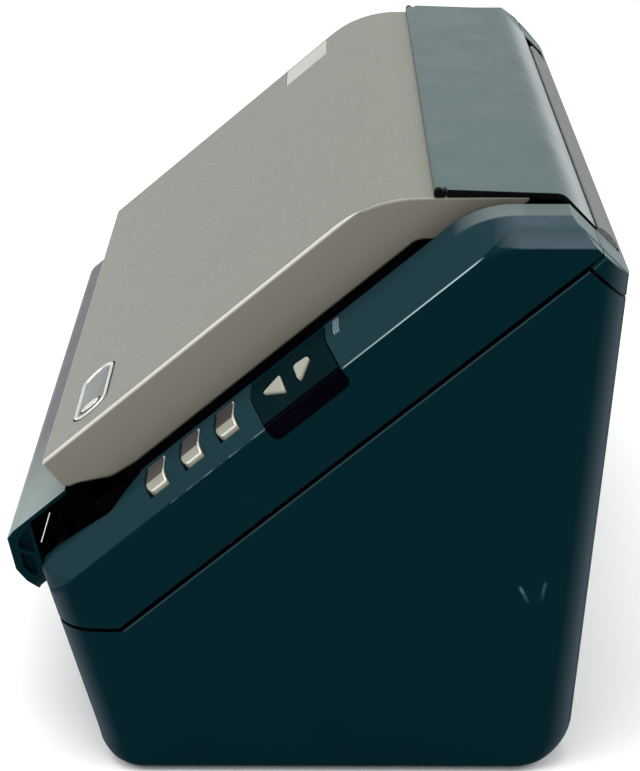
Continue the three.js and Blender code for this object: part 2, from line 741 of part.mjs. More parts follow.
// Hollow box section under the cover's front edge; its lip is the finger grip.
function frontFrame() {
  const outer = [
    onSlope(9.2, 16.8),
    onSlope(1.7, 12.8),
    onSlope(-3.3, PANEL_DEPTH),
    onSlope(-25, PANEL_DEPTH),
    [LIP, 65.2],
    [-88.4, 54.9],
    [-85.2, 51],
    [-81.5, 48.6],
    onSlope(-30, PATH_FRONT),
    onSlope(10, PATH_FRONT),
  ];
  const top = PANEL_DEPTH + 2.4;
  const floor = PATH_FRONT - 2.2;
  const endTop = PANEL_DEPTH + 1.3;
  const rearFloor = [onSlope(-26, floor), onSlope(10.5, floor), onSlope(11, 20.2)];
  const rear = [...rearFloor, onSlope(1.2, 15.2), onSlope(-3.6, top)];
  const nose = [onSlope(-22.5, top), [-87.2, 64], [-86, 56], [-83.6, 53.2], onSlope(-27, floor)];
  const rearEnd = [onSlope(-26, floor), onSlope(-2, floor), onSlope(-2, endTop)];
  const upperCell = [onSlope(-20.1, top), onSlope(-22.5, top), [-87.2, 64], [-86.9, 61.7], [-82.5, 60.3]];
  const lowerCell = [[-86.7, 60.4], [-86, 56], [-83.6, 53.2], [-81.8, 53], [-82.4, 59.1]];
  const chambers = [
    prism([...rear, ...nose], -112, 112),
    bothSides(prism([...rear, ...nose], 115, 124)),
    bothSides(prism([...rearEnd, onSlope(-18.5, endTop), onSlope(-23.4, 22.4)], 123, 140)),
    bothSides(sloped(124, 140, -3.4, 14, 8, 34)),
    bothSides(prism(upperCell, 128, 140)),
    bothSides(prism(lowerCell, 128, 140)),
  ];
  const skin = without(prism(outer, -FRONT_HALF, FRONT_HALF), ...chambers);
  return skin.subtract(bar(2.4, -150, 150, ...HINGE));
}

function frontGuidePlate() {
  const plate = flatPlate(-PATH_HALF, PATH_HALF, 10.6, 137.6, PATH_FRONT - 1.4, PATH_FRONT);
  const windows = WINDOWS.map(([s, half]) => flatPlate(-half, half, s - 8.5, s + 8.5, 20, 35));
  const scanWindow = flatPlate(-113, 113, SCAN_AT - 6, SCAN_AT + 6, 20, 35);
  return without(plate, ...windows, scanWindow);
}

function frontScanModule() {
  const box = flatPlate(-116, 116, SCAN_AT - 11, SCAN_AT + 11, 12, 27.9);
  const trough = flatPlate(-110, 110, SCAN_AT - 5, SCAN_AT + 5, 18, 29);
  return box.subtract(trough);
}

// Thin plates inside the cover that carry the pinch rollers.
function frontSide(side) {
  const outline = [[12, -29.8], [12, -20], [22, -12], [112, -12], [130, -18], [137, -29.8]];
  const [x0, x1] = side < 0 ? [-125.6, -124.2] : [124.2, 125.6];
  return without(prism(outline, x0, x1), ...shaftHoles(-130, 130, SHAFTS, PINCH_DEPTH, 2));
}

function pinchRoller(s, centres, half) {
  const [axle, core] = [1.5, 3.5];
  const edges = centres.flatMap((x) => [
    [core, x - half],
    [PINCH, x - half],
    [PINCH, x + half],
    [core, x + half],
  ]);
  const [x0, x1] = [edges[0][1], edges[edges.length - 1][1]];
  const points = [[0, -127.2], [axle, -127.2], [axle, x0], ...edges, [axle, x1], [axle, 127.2], [0, 127.2]];
  const profile = points.map(([r, x]) => new THREE.Vector2(r, x));
  const geometry = new THREE.LatheGeometry(profile, 16).rotateZ(-Math.PI / 2);
  const solid = solidOf(geometry.translate(0, s, -PINCH_DEPTH));
  return solid.volume() < 0 ? flipped(geometry) : solid;
}

// The flap over the paper slot, folded down over the rear of the front cover.
const FLAP_HALF = 131;
const FLAP_BEND = [72.8, 173.1];
const FLAP_END = [82.2, 163.4];

function feedCover() {
  const [y, z] = COVER_HINGE;
  const inner = [FLAP_BEND[0] - 0.9, FLAP_BEND[1] - 2];
  const outline = [
    ...arc(y, z, 1.1, 270, 90, 5),
    ...rounded([y, z + 1.1], FLAP_BEND, FLAP_END, 5, 4),
    FLAP_END,
    [FLAP_END[0] - 1.4, FLAP_END[1] - 0.8],
    ...rounded(FLAP_END, inner, [64, inner[1]], 3, 3).map(([a, b]) => [a, b]),
    [66, inner[1]],
    [64.5, z - 1.1],
  ];
  const flap = prism(outline, -FLAP_HALF, FLAP_HALF);
  const corner = slab(128.2, 140, 30, 39.6, 165, 180);
  return without(flap, corner, mirrored(corner));
}

function coverPivot(side) {
  const [x0, x1] = side < 0 ? [-131, -128.5] : [128.5, 131];
  const [y, z] = COVER_HINGE;
  const base = slab(x0, x1, y - 1.2, y + 1.9, COVER_TOP + GAP, z + 0.4);
  return base.add(bar(1.1, x0, x1, y, z, 12));
}

// ---- electrics ----------------------------------------------------------------------------
function mainBoard() {
  return slab(-96, 96, -30, 72, 8.8, 10.3);
}

function dataSocket() {
  const shell = slab(30, 42.2, 64, 79.6, 10.6, 22);
  return shell.subtract(slab(31.6, 40.6, 70, 90, 12.2, 20.4));
}

function powerInlet() {
  const body = slab(-41, -29, 66, 79.6, 10.6, 22);
  const mouth = new THREE.CylinderGeometry(3.2, 3.2, 20, 14).translate(-35, 82, 16.3);
  return body.subtract(solidOf(mouth));
}

const SWITCH = { x: -65, y: 78.4, z: 19 };

function powerSwitch() {
  const { x, y, z } = SWITCH;
  const outline = [...arc(y - 4, z, 7.2, -42, 42, 6), [y - 4, z + 4], [y - 4, z - 4]];
  return prism(outline, x - 9.6, x + 9.6);
}

// ---- assembly -----------------------------------------------------------------------------
const scanner = new THREE.Group();
const slopeGroup = new THREE.Group();
slopeGroup.position.set(0, ...SLOPE_START);
slopeGroup.rotation.x = SLOPE;
scanner.add(slopeGroup);

function piece(group, name, solid, material) {
  const mesh = new THREE.Mesh(geometryOf(solid), material);
  mesh.name = name;
  group.add(mesh);
}

piece(scanner, "lower_casing", lowerCasing(), DARK);
piece(scanner, "upper_casing", upperCasing(), DARK);
piece(scanner, "rear_top_cover", rearTopCover(), GREY);
piece(scanner, "base_plate", basePlate(), PLATE);
FOOT_PLACES.forEach((place, i) => piece(scanner, `foot_${i + 1}`, foot(place), RUBBER));
SCREW_PLACES.forEach((place, i) => piece(scanner, `base_screw_${i + 1}`, baseScrew(place), STEEL));

piece(slopeGroup, "rear_guide_plate", rearGuidePlate(), INNER);
piece(slopeGroup, "rear_scan_module", rearScanModule(), INNER);
piece(slopeGroup, "rear_scan_glass", scanGlass(PATH_REAR), GLASS);
piece(slopeGroup, "side_frame_left", sideFrame(-1), PLATE);
piece(slopeGroup, "side_frame_right", sideFrame(1), PLATE);
piece(slopeGroup, "drive_motor", driveMotor(), PLATE);
piece(slopeGroup, "motor_pulley", motorPulley(), STEEL);
piece(slopeGroup, "drive_belt", driveBelt(), RUBBER);
for (const [name, s] of [["feed", FEED_AT], ["drive", DRIVE_AT], ["eject", EJECT_AT]]) {
  const [centres, half] = s === FEED_AT ? [[-15, 15], 12] : [[-45, -15, 15, 45], 10];
  piece(slopeGroup, `${name}_shaft`, rollerShaft(s), STEEL);
  piece(slopeGroup, `${name}_roller`, rollerSleeve(s, centres, half), RUBBER);
}
piece(slopeGroup, "guide_right", sideGuide(1), INNER);
piece(slopeGroup, "guide_left", sideGuide(-1), INNER);
piece(slopeGroup, "guide_pinion", guidePinion(), BUTTON);

piece(scanner, "main_board", mainBoard(), BOARD);
piece(scanner, "data_socket", dataSocket(), STEEL);
piece(scanner, "power_inlet", powerInlet(), INNER);
piece(scanner, "power_switch", powerSwitch(), INNER);
piece(scanner, "feed_support", feedSupport(), GREY);

piece(slopeGroup, "control_board", flatPlate(138, 151.5, 16, 100, 31.5, 33), BOARD);
piece(slopeGroup, "control_bezel", controlBezel(), DARK);
piece(slopeGroup, "display_window", displayWindow(), GLOSS);
piece(slopeGroup, "power_lamp", powerLamp(), LAMP);
BUTTON_AT.forEach((s, i) => {
  piece(slopeGroup, `function_button_${i + 1}`, functionButton(s), BUTTON);
});
piece(slopeGroup, "arrow_button_down", arrowButton(ARROW_AT[0], -1), BUTTON);
piece(slopeGroup, "arrow_button_up", arrowButton(ARROW_AT[1], 1), BUTTON);

piece(scanner, "hinge_pin_right", bar(2, 112.5, 135, ...HINGE, 14), STEEL);
piece(scanner, "hinge_pin_left", bar(2, -135, -112.5, ...HINGE, 14), STEEL);
piece(scanner, "front_cover", frontCover(), CHAMPAGNE);
piece(scanner, "front_frame", frontFrame(), DARK);
piece(slopeGroup, "front_guide_plate", frontGuidePlate(), INNER);
piece(slopeGroup, "front_scan_module", frontScanModule(), INNER);
piece(slopeGroup, "front_scan_glass", scanGlass(PATH_FRONT - 1.7), GLASS);
piece(slopeGroup, "front_side_left", frontSide(-1), INNER);
piece(slopeGroup, "front_side_right", frontSide(1), INNER);
piece(slopeGroup, "retard_roller", pinchRoller(FEED_AT, [-15, 15], 12), RUBBER);
piece(slopeGroup, "pinch_roller", pinchRoller(DRIVE_AT, [-45, -15, 15, 45], 10), RUBBER);
piece(slopeGroup, "eject_pinch_roller", pinchRoller(EJECT_AT, [-45, -15, 15, 45], 10), RUBBER);
piece(slopeGroup, "badge", racetrack(BADGE, 0, -0.5, POCKET), GLOSS);
piece(slopeGroup, "name_plate", namePlate(0, 0, POCKET), CHAMPAGNE);
piece(scanner, "feed_cover", feedCover(), STRIP);
piece(scanner, "feed_cover_pivot_right", coverPivot(1), INNER);
piece(scanner, "feed_cover_pivot_left", coverPivot(-1), INNER);

export default scanner;
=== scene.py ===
"""Looks of a desktop sheet-fed document scanner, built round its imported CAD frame.

Shapes are written in millimetres and scaled to metres as each mesh is made. +X is the
machine's right-hand side, the sloping front faces -Y, and +Z is up. On the slope a place is
given as (s, d): s runs up the slope and d is the depth below the front cover's top face.
"""

import json
import math

import bmesh
import bpy
from mathutils import Matrix, Vector

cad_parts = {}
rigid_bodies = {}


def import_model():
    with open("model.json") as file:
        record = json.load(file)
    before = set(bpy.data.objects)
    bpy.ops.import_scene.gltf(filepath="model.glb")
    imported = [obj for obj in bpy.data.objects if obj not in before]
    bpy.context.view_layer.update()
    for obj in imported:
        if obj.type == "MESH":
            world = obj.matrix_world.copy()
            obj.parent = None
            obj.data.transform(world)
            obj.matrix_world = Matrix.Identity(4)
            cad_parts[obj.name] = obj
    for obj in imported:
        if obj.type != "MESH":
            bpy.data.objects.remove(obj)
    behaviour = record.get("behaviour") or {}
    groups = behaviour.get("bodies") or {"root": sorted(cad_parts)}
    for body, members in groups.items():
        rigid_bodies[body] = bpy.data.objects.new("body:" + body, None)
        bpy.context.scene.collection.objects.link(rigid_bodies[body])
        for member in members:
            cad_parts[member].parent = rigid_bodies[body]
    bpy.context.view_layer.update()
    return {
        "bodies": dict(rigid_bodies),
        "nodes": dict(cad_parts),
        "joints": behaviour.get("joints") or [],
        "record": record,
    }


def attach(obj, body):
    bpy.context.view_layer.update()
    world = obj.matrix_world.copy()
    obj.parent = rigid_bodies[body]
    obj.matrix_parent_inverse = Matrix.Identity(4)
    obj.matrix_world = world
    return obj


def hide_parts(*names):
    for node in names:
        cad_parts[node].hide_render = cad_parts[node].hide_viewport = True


MM = 0.001
MERGE_GAP = 0.01
FLAT_ANGLE = 0.4
FLAT_FACE_WEIGHT = 60

# ---- the slope, and depths below the front cover's top face ----
SLOPE = math.radians(40)
SLOPE_START = (-77.3, 91.9)
PANEL_DEPTH = 11.3
SKIRT_DEPTH = 18.2
CHEEK_DEPTH = 20.3
CHAMFER_DEPTH = 27.6
PATH_FRONT = 30
PATH_REAR = 38
PARTING_DEPTH = 48.1

# ---- casing and cover, as in the CAD ----
HALF_WIDTH = 156
CHEEK_INNER = 133
SILL_HALF = 133.2
COVER_HALF = 131
COVER_TOP = 171.8
COVER_REAR = 63
COVER_ROUND = 38
CHEEK_TOP = 170.7
CHEEK_ROUND = 28
CHAMFER_TOP = 164.4
CREASE_START = 143.5
CREASE_EASE = 5
CHAMFER_RUN = 10
SILL = 47.7
SILL_END = -55.2
REAR_EDGE = (81.9, 163.1)
REAR_LEAN = 0.0775
WALL = 2.5
BODY_CORNER = 12.5
HINGE = (-73.8, 62.8)
COVER_HINGE = (37.2, 173.2)
PIN_HOLE = 2.3
PIN_BORE = 2.4

# ---- controls: X, or the distance up the slope ----
BUTTONS = (25.3, 38.7, 52)
BUTTON_START = 135.6
BUTTON_FOOT = 150.5
KEY_HALF = 3.4
KEY_GAP = 0.45
KEY_CORNER = 2.4
BEZEL = (62.5, 90)
WINDOW_FOOT = 32.4
LAMP_X = (135.8, 145.6)
LAMP_AT = (93.2, 95.4)
LAMP_RIDGES = 3
RIDGE_PITCH = 0.74
RIDGE_HALF = 0.3

# ---- the casing's foot, lower and rounder at its ends than in the CAD ----
BODY_FOOT = 1.2
FOOT_SIDE = 2.2
FOOT_FRONT = 6.5
FOOT_REAR = 12

# ---- places beyond the casing, where cutters and trims end ----
AHEAD = -97
BEHIND = 99
ASIDE = 160
BODY_TOP = 190


# ---- outlines in the Y, Z plane ----
def on_slope(s, d):
    c, k = math.cos(SLOPE), math.sin(SLOPE)
    return (SLOPE_START[0] + s * c + d * k, SLOPE_START[1] + s * k - d * c)


def slope_points(*places):
    """Points in the Y, Z plane from (s, d) places."""
    return [on_slope(s, d) for s, d in places]


def slope_place(point):
    """How far up the slope and how deep below it a point lies, in millimetres."""
    y, z = point.y - SLOPE_START[0], point.z - SLOPE_START[1]
    return y * math.cos(SLOPE) + z * math.sin(SLOPE), y * math.sin(SLOPE) - z * math.cos(SLOPE)


def slope_at_height(d, z):
    s = (z - SLOPE_START[1] + d * math.cos(SLOPE)) / math.sin(SLOPE)
    return on_slope(s, d)


def arc(y, z, radius, start, end, steps):
    angles = [math.radians(start + (end - start) * i / steps) for i in range(steps + 1)]
    return [(y + radius * math.cos(a), z + radius * math.sin(a)) for a in angles]


def rounded(before, corner, after, radius, steps):
    """The corner between three points, rounded with an arc."""
    p, c, n = Vector(before), Vector(corner), Vector(after)
    back, ahead = (p - c).normalized(), (n - c).normalized()
    half = math.acos(max(-1, min(1, back.dot(ahead)))) / 2
    start = c + back * (radius / math.tan(half))
    centre = c + (back + ahead).normalized() * (radius / math.sin(half))
    turn = (2 * half - math.pi) * (1 if back.cross(ahead) > 0 else -1)
    points = []
    for i in range(steps + 1):
        spoke = start - centre
        spoke.rotate(Matrix.Rotation(turn * i / steps, 2))
        points.append(tuple(centre + spoke))
    return points


def rounded_path(corners, steps):
    """Open path from (y, z, radius) corners."""
    points = [corners[0][:2]]
    for before, (y, z, radius), after in zip(corners, corners[1:], corners[2:]):
        points += rounded(before[:2], (y, z), after[:2], radius, steps) if radius else [(y, z)]
    return points + [corners[-1][:2]]


def rounded_outline(corners, steps):
    """Closed outline from (y, z, radius) corners."""
    return rounded_path([corners[-1], *corners, corners[0]], steps)[1:-1]


# ---- meshes ----
def mesh_piece(name, verts, faces):
    mesh = bpy.data.meshes.new(name)
    mesh.from_pydata([[c * MM for c in v] for v in verts], [], faces)
    shaped = bmesh.new()
    shaped.from_mesh(mesh)
    bmesh.ops.recalc_face_normals(shaped, faces=shaped.faces)
    shaped.to_mesh(mesh)
    shaped.free()
    piece = bpy.data.objects.new(name, mesh)
    bpy.context.scene.collection.objects.link(piece)
    return piece


def loft(name, rings):
    """A closed skin through rings of equal length."""
    count = len(rings[0])
    verts = [v for ring in rings for v in ring]
    faces = []
    for a in range(0, len(verts) - count, count):
        b = a + count
        for i in range(count):
            j = (i + 1) % count
            faces.append((a + i, a + j, b + j, b + i))
    faces += [tuple(range(count)), tuple(range(len(verts) - count, len(verts)))]
    return mesh_piece(name, verts, faces)


def prism(name, outline, x0, x1):
    return loft(name, [[(x, y, z) for y, z in outline] for x in (x0, x1)])


def inset_normals(outline):
    """Unit-offset directions that point into a closed outline, mitred at its corners."""
    area = sum(a[0] * b[1] - b[0] * a[1] for a, b in zip(outline, outline[1:] + outline[:1]))
    side = 1 if area > 0 else -1
    result = []
    for i, point in enumerate(outline):
        p, a, b = Vector(point), Vector(outline[i - 1]), Vector(outline[(i + 1) % len(outline)])
        e, f = (p - a).normalized(), (b - p).normalized()
        n, m = Vector((-e.y, e.x)) * side, Vector((-f.y, f.x)) * side
        both = n + m
        result.append(both / max(both.length_squared / 2, 0.35))
    return result


def pillow(name, outline, x0, x1, radius, steps=4):
    """A prism along X whose end edges are rounded; radius is a number or a function of (y, z)."""
    inward = inset_normals(outline)
    radii = [radius(*p) if callable(radius) else radius for p in outline]
    rings = []
    for end, way in ((x0, 1), (x1, -1)):
        ring_set = []
        for k in range(steps + 1):
            angle = math.pi / 2 * k / steps
            ring = []
            for (y, z), n, r in zip(outline, inward, radii):
                give = r * (1 - math.sin(angle))
                ring.append((end + way * r * (1 - math.cos(angle)), y + n.x * give, z + n.y * give))
            ring_set.append(ring)
        rings += ring_set if way == 1 else ring_set[::-1]
    return loft(name, rings)


def block(name, x0, x1, y0, y1, z0, z1):
    return prism(name, [(y0, z0), (y1, z0), (y1, z1), (y0, z1)], x0, x1)


def sloped_block(name, x0, x1, s0, s1, d0, d1):
    return prism(name, slope_points((s0, d0), (s1, d0), (s1, d1), (s0, d1)), x0, x1)


def at_depth(points, d):
    """(x, s) points as places in space, at a depth below the slope."""
    return [(x, *on_slope(s, d)) for x, s in points]


def on_top(name, points, d0, d1):
    """A prism square to the slope, from (x, s) points."""
    return loft(name, [at_depth(points, d) for d in (d0, d1)])


def across_slope(name, points, s0, s1):
    """A prism along the slope, from (x, d) points."""
    return loft(name, [[(x, *on_slope(s, d)) for x, d in points] for s in (s0, s1)])


def rod(name, radius, x0, x1, y, z, sides=32):
    return prism(name, arc(y, z, radius, 0, 360 - 360 / sides, sides - 1), x0, x1)


def wire(name, foot, tip, radius, sides=12):
    """A round wire between two points, its ends slightly rounded."""
    along = (tip - foot).normalized()
    across = along.cross(Vector((1, 0, 0))).normalized()
    over = along.cross(across)
    rings = []
    for at, r in ((0, 0.5), (0.01, 1), (0.99, 1), (1, 0.5)):
        centre = foot.lerp(tip, at)
        turns = [math.tau * i / sides for i in range(sides)]
        spokes = [across * math.cos(a) + over * math.sin(a) for a in turns]
        rings.append([tuple(centre + spoke * radius * r) for spoke in spokes])
    return loft(name, rings)


def settle(piece):
    """Makes the piece's modifiers part of its mesh."""
    graph = bpy.context.evaluated_depsgraph_get()
    made = bpy.data.meshes.new_from_object(piece.evaluated_get(graph))
    piece.modifiers.clear()
    piece.data = made
    return piece


def combined(piece, others, operation):
    for other in others:
        step = piece.modifiers.new("combine", "BOOLEAN")
        step.operation = operation
        step.solver = "EXACT"
        step.object = other
    settle(piece)
    for other in others:
        bpy.data.objects.remove(other)
    return piece


def cut(piece, *others):
    return combined(piece, others, "DIFFERENCE")


def keep(piece, *others):
    return combined(piece, others, "INTERSECT")


def cleaned(piece):
    """Merges vertices that coincide and faces that lie in one plane."""
    shaped = bmesh.new()
    shaped.from_mesh(piece.data)
    bmesh.ops.remove_doubles(shaped, verts=shaped.verts, dist=MERGE_GAP * MM)
    bmesh.ops.dissolve_limit(
        shaped, angle_limit=math.radians(FLAT_ANGLE), verts=shaped.verts, edges=shaped.edges
    )
    shaped.to_mesh(piece.data)
    shaped.free()
    return piece


def edges_eased(piece, width=0.4, segments=3, angle=35):
    """Rounds the edges sharper than the angle, in degrees."""
    bevel = piece.modifiers.new("eased edges", "BEVEL")
    bevel.width = width * MM
    bevel.segments = segments
    bevel.limit_method = "ANGLE"
    bevel.angle_limit = math.radians(angle)
    bevel.use_clamp_overlap = False
    return smoothed(piece)


def smoothed(piece):
    for face in piece.data.polygons:
        face.use_smooth = True
    weighted = piece.modifiers.new("weighted normals", "WEIGHTED_NORMAL")
    weighted.weight = FLAT_FACE_WEIGHT
    weighted.keep_sharp = True
    return piece


def placed(piece, body, material, slot, *replaced):
    piece.data.materials.clear()
    piece.data.materials.append(material)
    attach(piece, body)
    if replaced:
        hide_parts(*replaced)
    return piece


def painted(piece, material, test):
    """Gives another material to the faces whose centre (mm) and normal pass the test."""
    piece.data.materials.append(material)
    index = len(piece.data.materials) - 1
    for face in piece.data.polygons:
        if test(face.center / MM, face.normal):
            face.material_index = index
    return piece


def mirrored(piece, name):
    copy = piece.copy()
    copy.data = piece.data.copy()
    copy.name = name
    bpy.context.scene.collection.objects.link(copy)
    copy.data.transform(Matrix.Scale(-1, 4, (1, 0, 0)))
    copy.data.flip_normals()
    return copy


# ---- materials ----
CASING_DARK = (0.0001, 0.0096, 0.0138)
CASING_LIGHT = (0.0007, 0.0142, 0.0198)
CASING_GRAIN = 0.35
CHEEK_SHEEN_TINT = (0.0085, 0.0255, 0.0325)
CHEEK_TOP_HIGHLIGHT = (0.095, 0.117, 0.115)
CHAMFER_TOP_HIGHLIGHT = (0.046, 0.064, 0.079)
REAR_BAND_REFLECTION = (0.152, 0.1872, 0.184)
LIP_HIGHLIGHT = (0.035, 0.07, 0.08)
CORNER_HIGHLIGHT = (0.028, 0.046, 0.055)
SCRATCH_TINT = (0.07, 0.13, 0.14)
WEAR_AND_HIGHLIGHT_TINT = (0.33, 0.41, 0.43)
CREASE = (144.2, 145.2)

# ---- scratches on the right side: start and end as (y, z), and strength ----
SCRATCHES = (((61.8, 61.6), (64.6, 56.2), 1.0), ((69.2, 62.9), (68.0, 56.2), 0.5))


class Finish:
    """A procedural material: a Principled shader and the texture nodes that feed it."""

    def __init__(self, name, roughness=0.5, metallic=0.0, specular=0.5):
        self.material = bpy.data.materials.new(name)
        self.material.use_nodes = True
        self.tree = self.material.node_tree
        self.shader = self.tree.nodes["Principled BSDF"]
        self.shader.inputs["Roughness"].default_value = roughness
        self.shader.inputs["Metallic"].default_value = metallic
        self.shader.inputs["Specular IOR Level"].default_value = specular
        self.place = self.node("ShaderNodeTexCoord").outputs["Object"]

    def node(self, kind, **settings):
        made = self.tree.nodes.new(kind)
        for key, value in settings.items():
            setattr(made, key, value)
        return made

    def link(self, source, target):
        self.tree.links.new(source, target)

    def feed(self, target, value):
        """Links a socket, or sets a number or an RGB colour."""
        if isinstance(value, bpy.types.NodeSocket):
            self.link(value, target)
        else:
            target.default_value = (*value, 1) if isinstance(value, tuple) else value

    def stretched(self, scale, turn=(0, 0, 0)):
        mapping = self.node("ShaderNodeMapping")
        mapping.inputs["Scale"].default_value = scale
        mapping.inputs["Rotation"].default_value = turn
        self.link(self.place, mapping.inputs["Vector"])
        return mapping.outputs["Vector"]

    def noise(self, scale, detail=2.0, roughness=0.5, vector=None):
        texture = self.node("ShaderNodeTexNoise")
        texture.inputs["Scale"].default_value = scale
        texture.inputs["Detail"].default_value = detail
        texture.inputs["Roughness"].default_value = roughness
        self.link(vector or self.place, texture.inputs["Vector"])
        return texture.outputs["Fac"]

    def cells(self, scale):
        texture = self.node("ShaderNodeTexVoronoi")
        texture.inputs["Scale"].default_value = scale
        self.link(self.place, texture.inputs["Vector"])
        return texture.outputs["Distance"]

    def spread(self, value, low, high, to_low=0.0, to_high=1.0):
        limits = self.node("ShaderNodeMapRange")
        self.feed(limits.inputs["Value"], value)
        for key, number in (("From Min", low), ("From Max", high), ("To Min", to_low), ("To Max", to_high)):
            limits.inputs[key].default_value = number
        return limits.outputs["Result"]

    def ramp(self, value, start, end, to_start=0.0, to_end=1.0):
        """Like spread, for a length: start and end are in millimetres."""
        return self.spread(value, start * MM, end * MM, to_start, to_end)

    def maths(self, operation, *values):
        step = self.node("ShaderNodeMath", operation=operation)
        for target, value in zip(step.inputs, values):
            self.feed(target, value)
        return step.outputs["Value"]

    def times(self, *values):
        """The product of two or more values."""
        product = values[0]
        for value in values[1:]:
            product = self.maths("MULTIPLY", product, value)
        return product

    def zone(self, *ramps):
        """The product of ramps, each a length and its limits in millimetres."""
        return self.times(*(self.ramp(*ramp) for ramp in ramps))

    def apart(self, value, place):
        """How far a length lies from a place given in millimetres."""
        return self.maths("ABSOLUTE", self.maths("SUBTRACT", value, place * MM))

    def mixed(self, share, first, second):
        mix = self.node("ShaderNodeMix", data_type="RGBA")
        factor, colour_a, colour_b = mix.inputs[0], mix.inputs[6], mix.inputs[7]
        for target, value in ((factor, share), (colour_a, first), (colour_b, second)):
            self.feed(target, value)
        return mix.outputs[2]

    def mottled(self, value, low, high, first, second, most=1.0):
        """Two colours mixed by a texture, the second's share rising to most from low to high."""
        return self.mixed(self.spread(value, low, high, 0.0, most), first, second)

    def tinted(self, base, *tints):
        """The base colour with each (share, colour) laid over it in turn."""
        for share, tint in tints:
            base = self.mixed(share, base, tint)
        return base

    def colour(self, value):
        self.feed(self.shader.inputs["Base Color"], value)

    def rough(self, value, low, high, to_low, to_high):
        self.link(self.spread(value, low, high, to_low, to_high), self.shader.inputs["Roughness"])

    def bump(self, height, depth):
        """Adds a relief of the given depth in millimetres on top of the earlier ones."""
        relief = self.node("ShaderNodeBump")
        relief.inputs["Strength"].default_value = 1.0
        relief.inputs["Distance"].default_value = depth * MM
        self.link(height, relief.inputs["Height"])
        target = self.shader.inputs["Normal"]
        if target.is_linked:
            self.link(target.links[0].from_socket, relief.inputs["Normal"])
        self.link(relief.outputs["Normal"], target)

    def axis(self, name):
        axes = self.node("ShaderNodeSeparateXYZ")
        self.link(self.place, axes.inputs["Vector"])
        return axes.outputs[name]

    def from_middle(self):
        """Distance to either side of the middle plane, in metres."""
        return self.maths("ABSOLUTE", self.axis("X"))

    def from_slope_start(self):
        """Y and Z measured from the foot of the slope, in metres."""
        y = self.maths("SUBTRACT", self.axis("Y"), SLOPE_START[0] * MM)
        return y, self.maths("SUBTRACT", self.axis("Z"), SLOPE_START[1] * MM)

    def depth_on_slope(self):
        """Depth below the front cover's top face, in metres."""
        y, z = self.from_slope_start()
        return self.maths("SUBTRACT", self.times(y, math.sin(SLOPE)), self.times(z, math.cos(SLOPE)))

    def along_slope(self):
        """Distance up the slope, in metres."""
        y, z = self.from_slope_start()
        return self.maths("ADD", self.times(y, math.cos(SLOPE)), self.times(z, math.sin(SLOPE)))


def casing_plastic():
    """Dark blue-green moulded plastic, worn and scratched, with a painted sheen on the cheeks' faces, painted
    highlights on their tops, the corners and below the parting line, and a painted sky reflection on the rear
    band.
    """
    finish = Finish("casing plastic", 0.5, 0.0, 0.015)
    clouds = finish.noise(38, 4.0, 0.6)
    scuffs = finish.noise(60, 5.0, 0.7, finish.stretched((1, 9, 1), (0.5, 0, 0)))
    base = finish.mottled(clouds, 0.3, 0.75, CASING_DARK, CASING_LIGHT, 0.35)
    base = finish.mottled(scuffs, 0.62, 0.85, base, CASING_LIGHT, 0.3)
    base = finish.mottled(finish.cells(420), 0.05, 0.02, base, CASING_LIGHT, 0.35)
    depth, up, width = finish.depth_on_slope(), finish.along_slope(), finish.from_middle()
    y, z = finish.axis("Y"), finish.axis("Z")
    below_parting = finish.apart(depth, PARTING_DEPTH + 1.4)
    finish.colour(finish.tinted(
        base,
        # painted sheen on the cheeks' sloping faces
        (cheek_sheen_share(finish, width, depth, up), CHEEK_SHEEN_TINT),
        # painted highlight on the cheeks' level top
        (finish.zone((width, *CREASE[::-1]), (z, 164.5, 170.3)), CHEEK_TOP_HIGHLIGHT),
        # mottled painted highlight where the chamfer meets the level top
        (chamfer_top_highlight(finish, width, y, z), CHAMFER_TOP_HIGHLIGHT),
        # painted sky reflection on the rear 45-degree band
        (finish.ramp(finish.maths("ADD", y, z), 244.5, 244.8), REAR_BAND_REFLECTION),
        # painted highlight just below the parting line
        (finish.zone((below_parting, 0.3, 0.1, 0.0, 0.5), (y, -54.5, -53.5)), LIP_HIGHLIGHT),
        # painted highlight on the rounded vertical corners below the chamfer
        (finish.zone((width, 155.1, 150.5), (depth, 27.8, 29), (width, 148, 150, 0.2, 1.0)), CORNER_HIGHLIGHT),
        (scratch_share(finish, y, z), SCRATCH_TINT),
        (wear_and_highlight_share(finish, width, depth, up), WEAR_AND_HIGHLIGHT_TINT),
    ))
    finish.rough(clouds, 0.25, 0.75, 0.44, 0.58)
    finish.bump(finish.noise(1 / (CASING_GRAIN * MM), 3.0, 0.6), 0.03)
    return finish.material


def cheek_sheen_share(finish, width, depth, up):
    """The cheeks' sloping faces get a painted sheen, which fades at the nose to leave painted shade there and
    leaves the face dark beside the control panel.
    """
    face = finish.zone((depth, 27.5, 27.2, 0.0, 0.9), (width, 132.6, 133.2))
    nose = finish.zone((width, 147.2, 144.2), (up, 26, 6))
    beside = finish.zone((finish.apart(up, sum(BEZEL) / 2), 14.1, 13.7), (width, 136.6, 136.1))
    away_from_nose = finish.spread(nose, 0.0, 1.0, 1.0, 0.15)
    return finish.times(face, away_from_nose, finish.spread(beside, 0.0, 1.0, 1.0, 0.0))


def chamfer_top_highlight(finish, width, y, z):
    """A mottled painted highlight where the chamfer meets the level top."""
    mottled = finish.spread(finish.noise(160, 4.0, 0.7), 0.3, 0.7, 0.8, 1.0)
    return finish.times(finish.zone((width, *CREASE), (z, 164.2, 164.6), (y, 51.5, 59.5)), mottled)


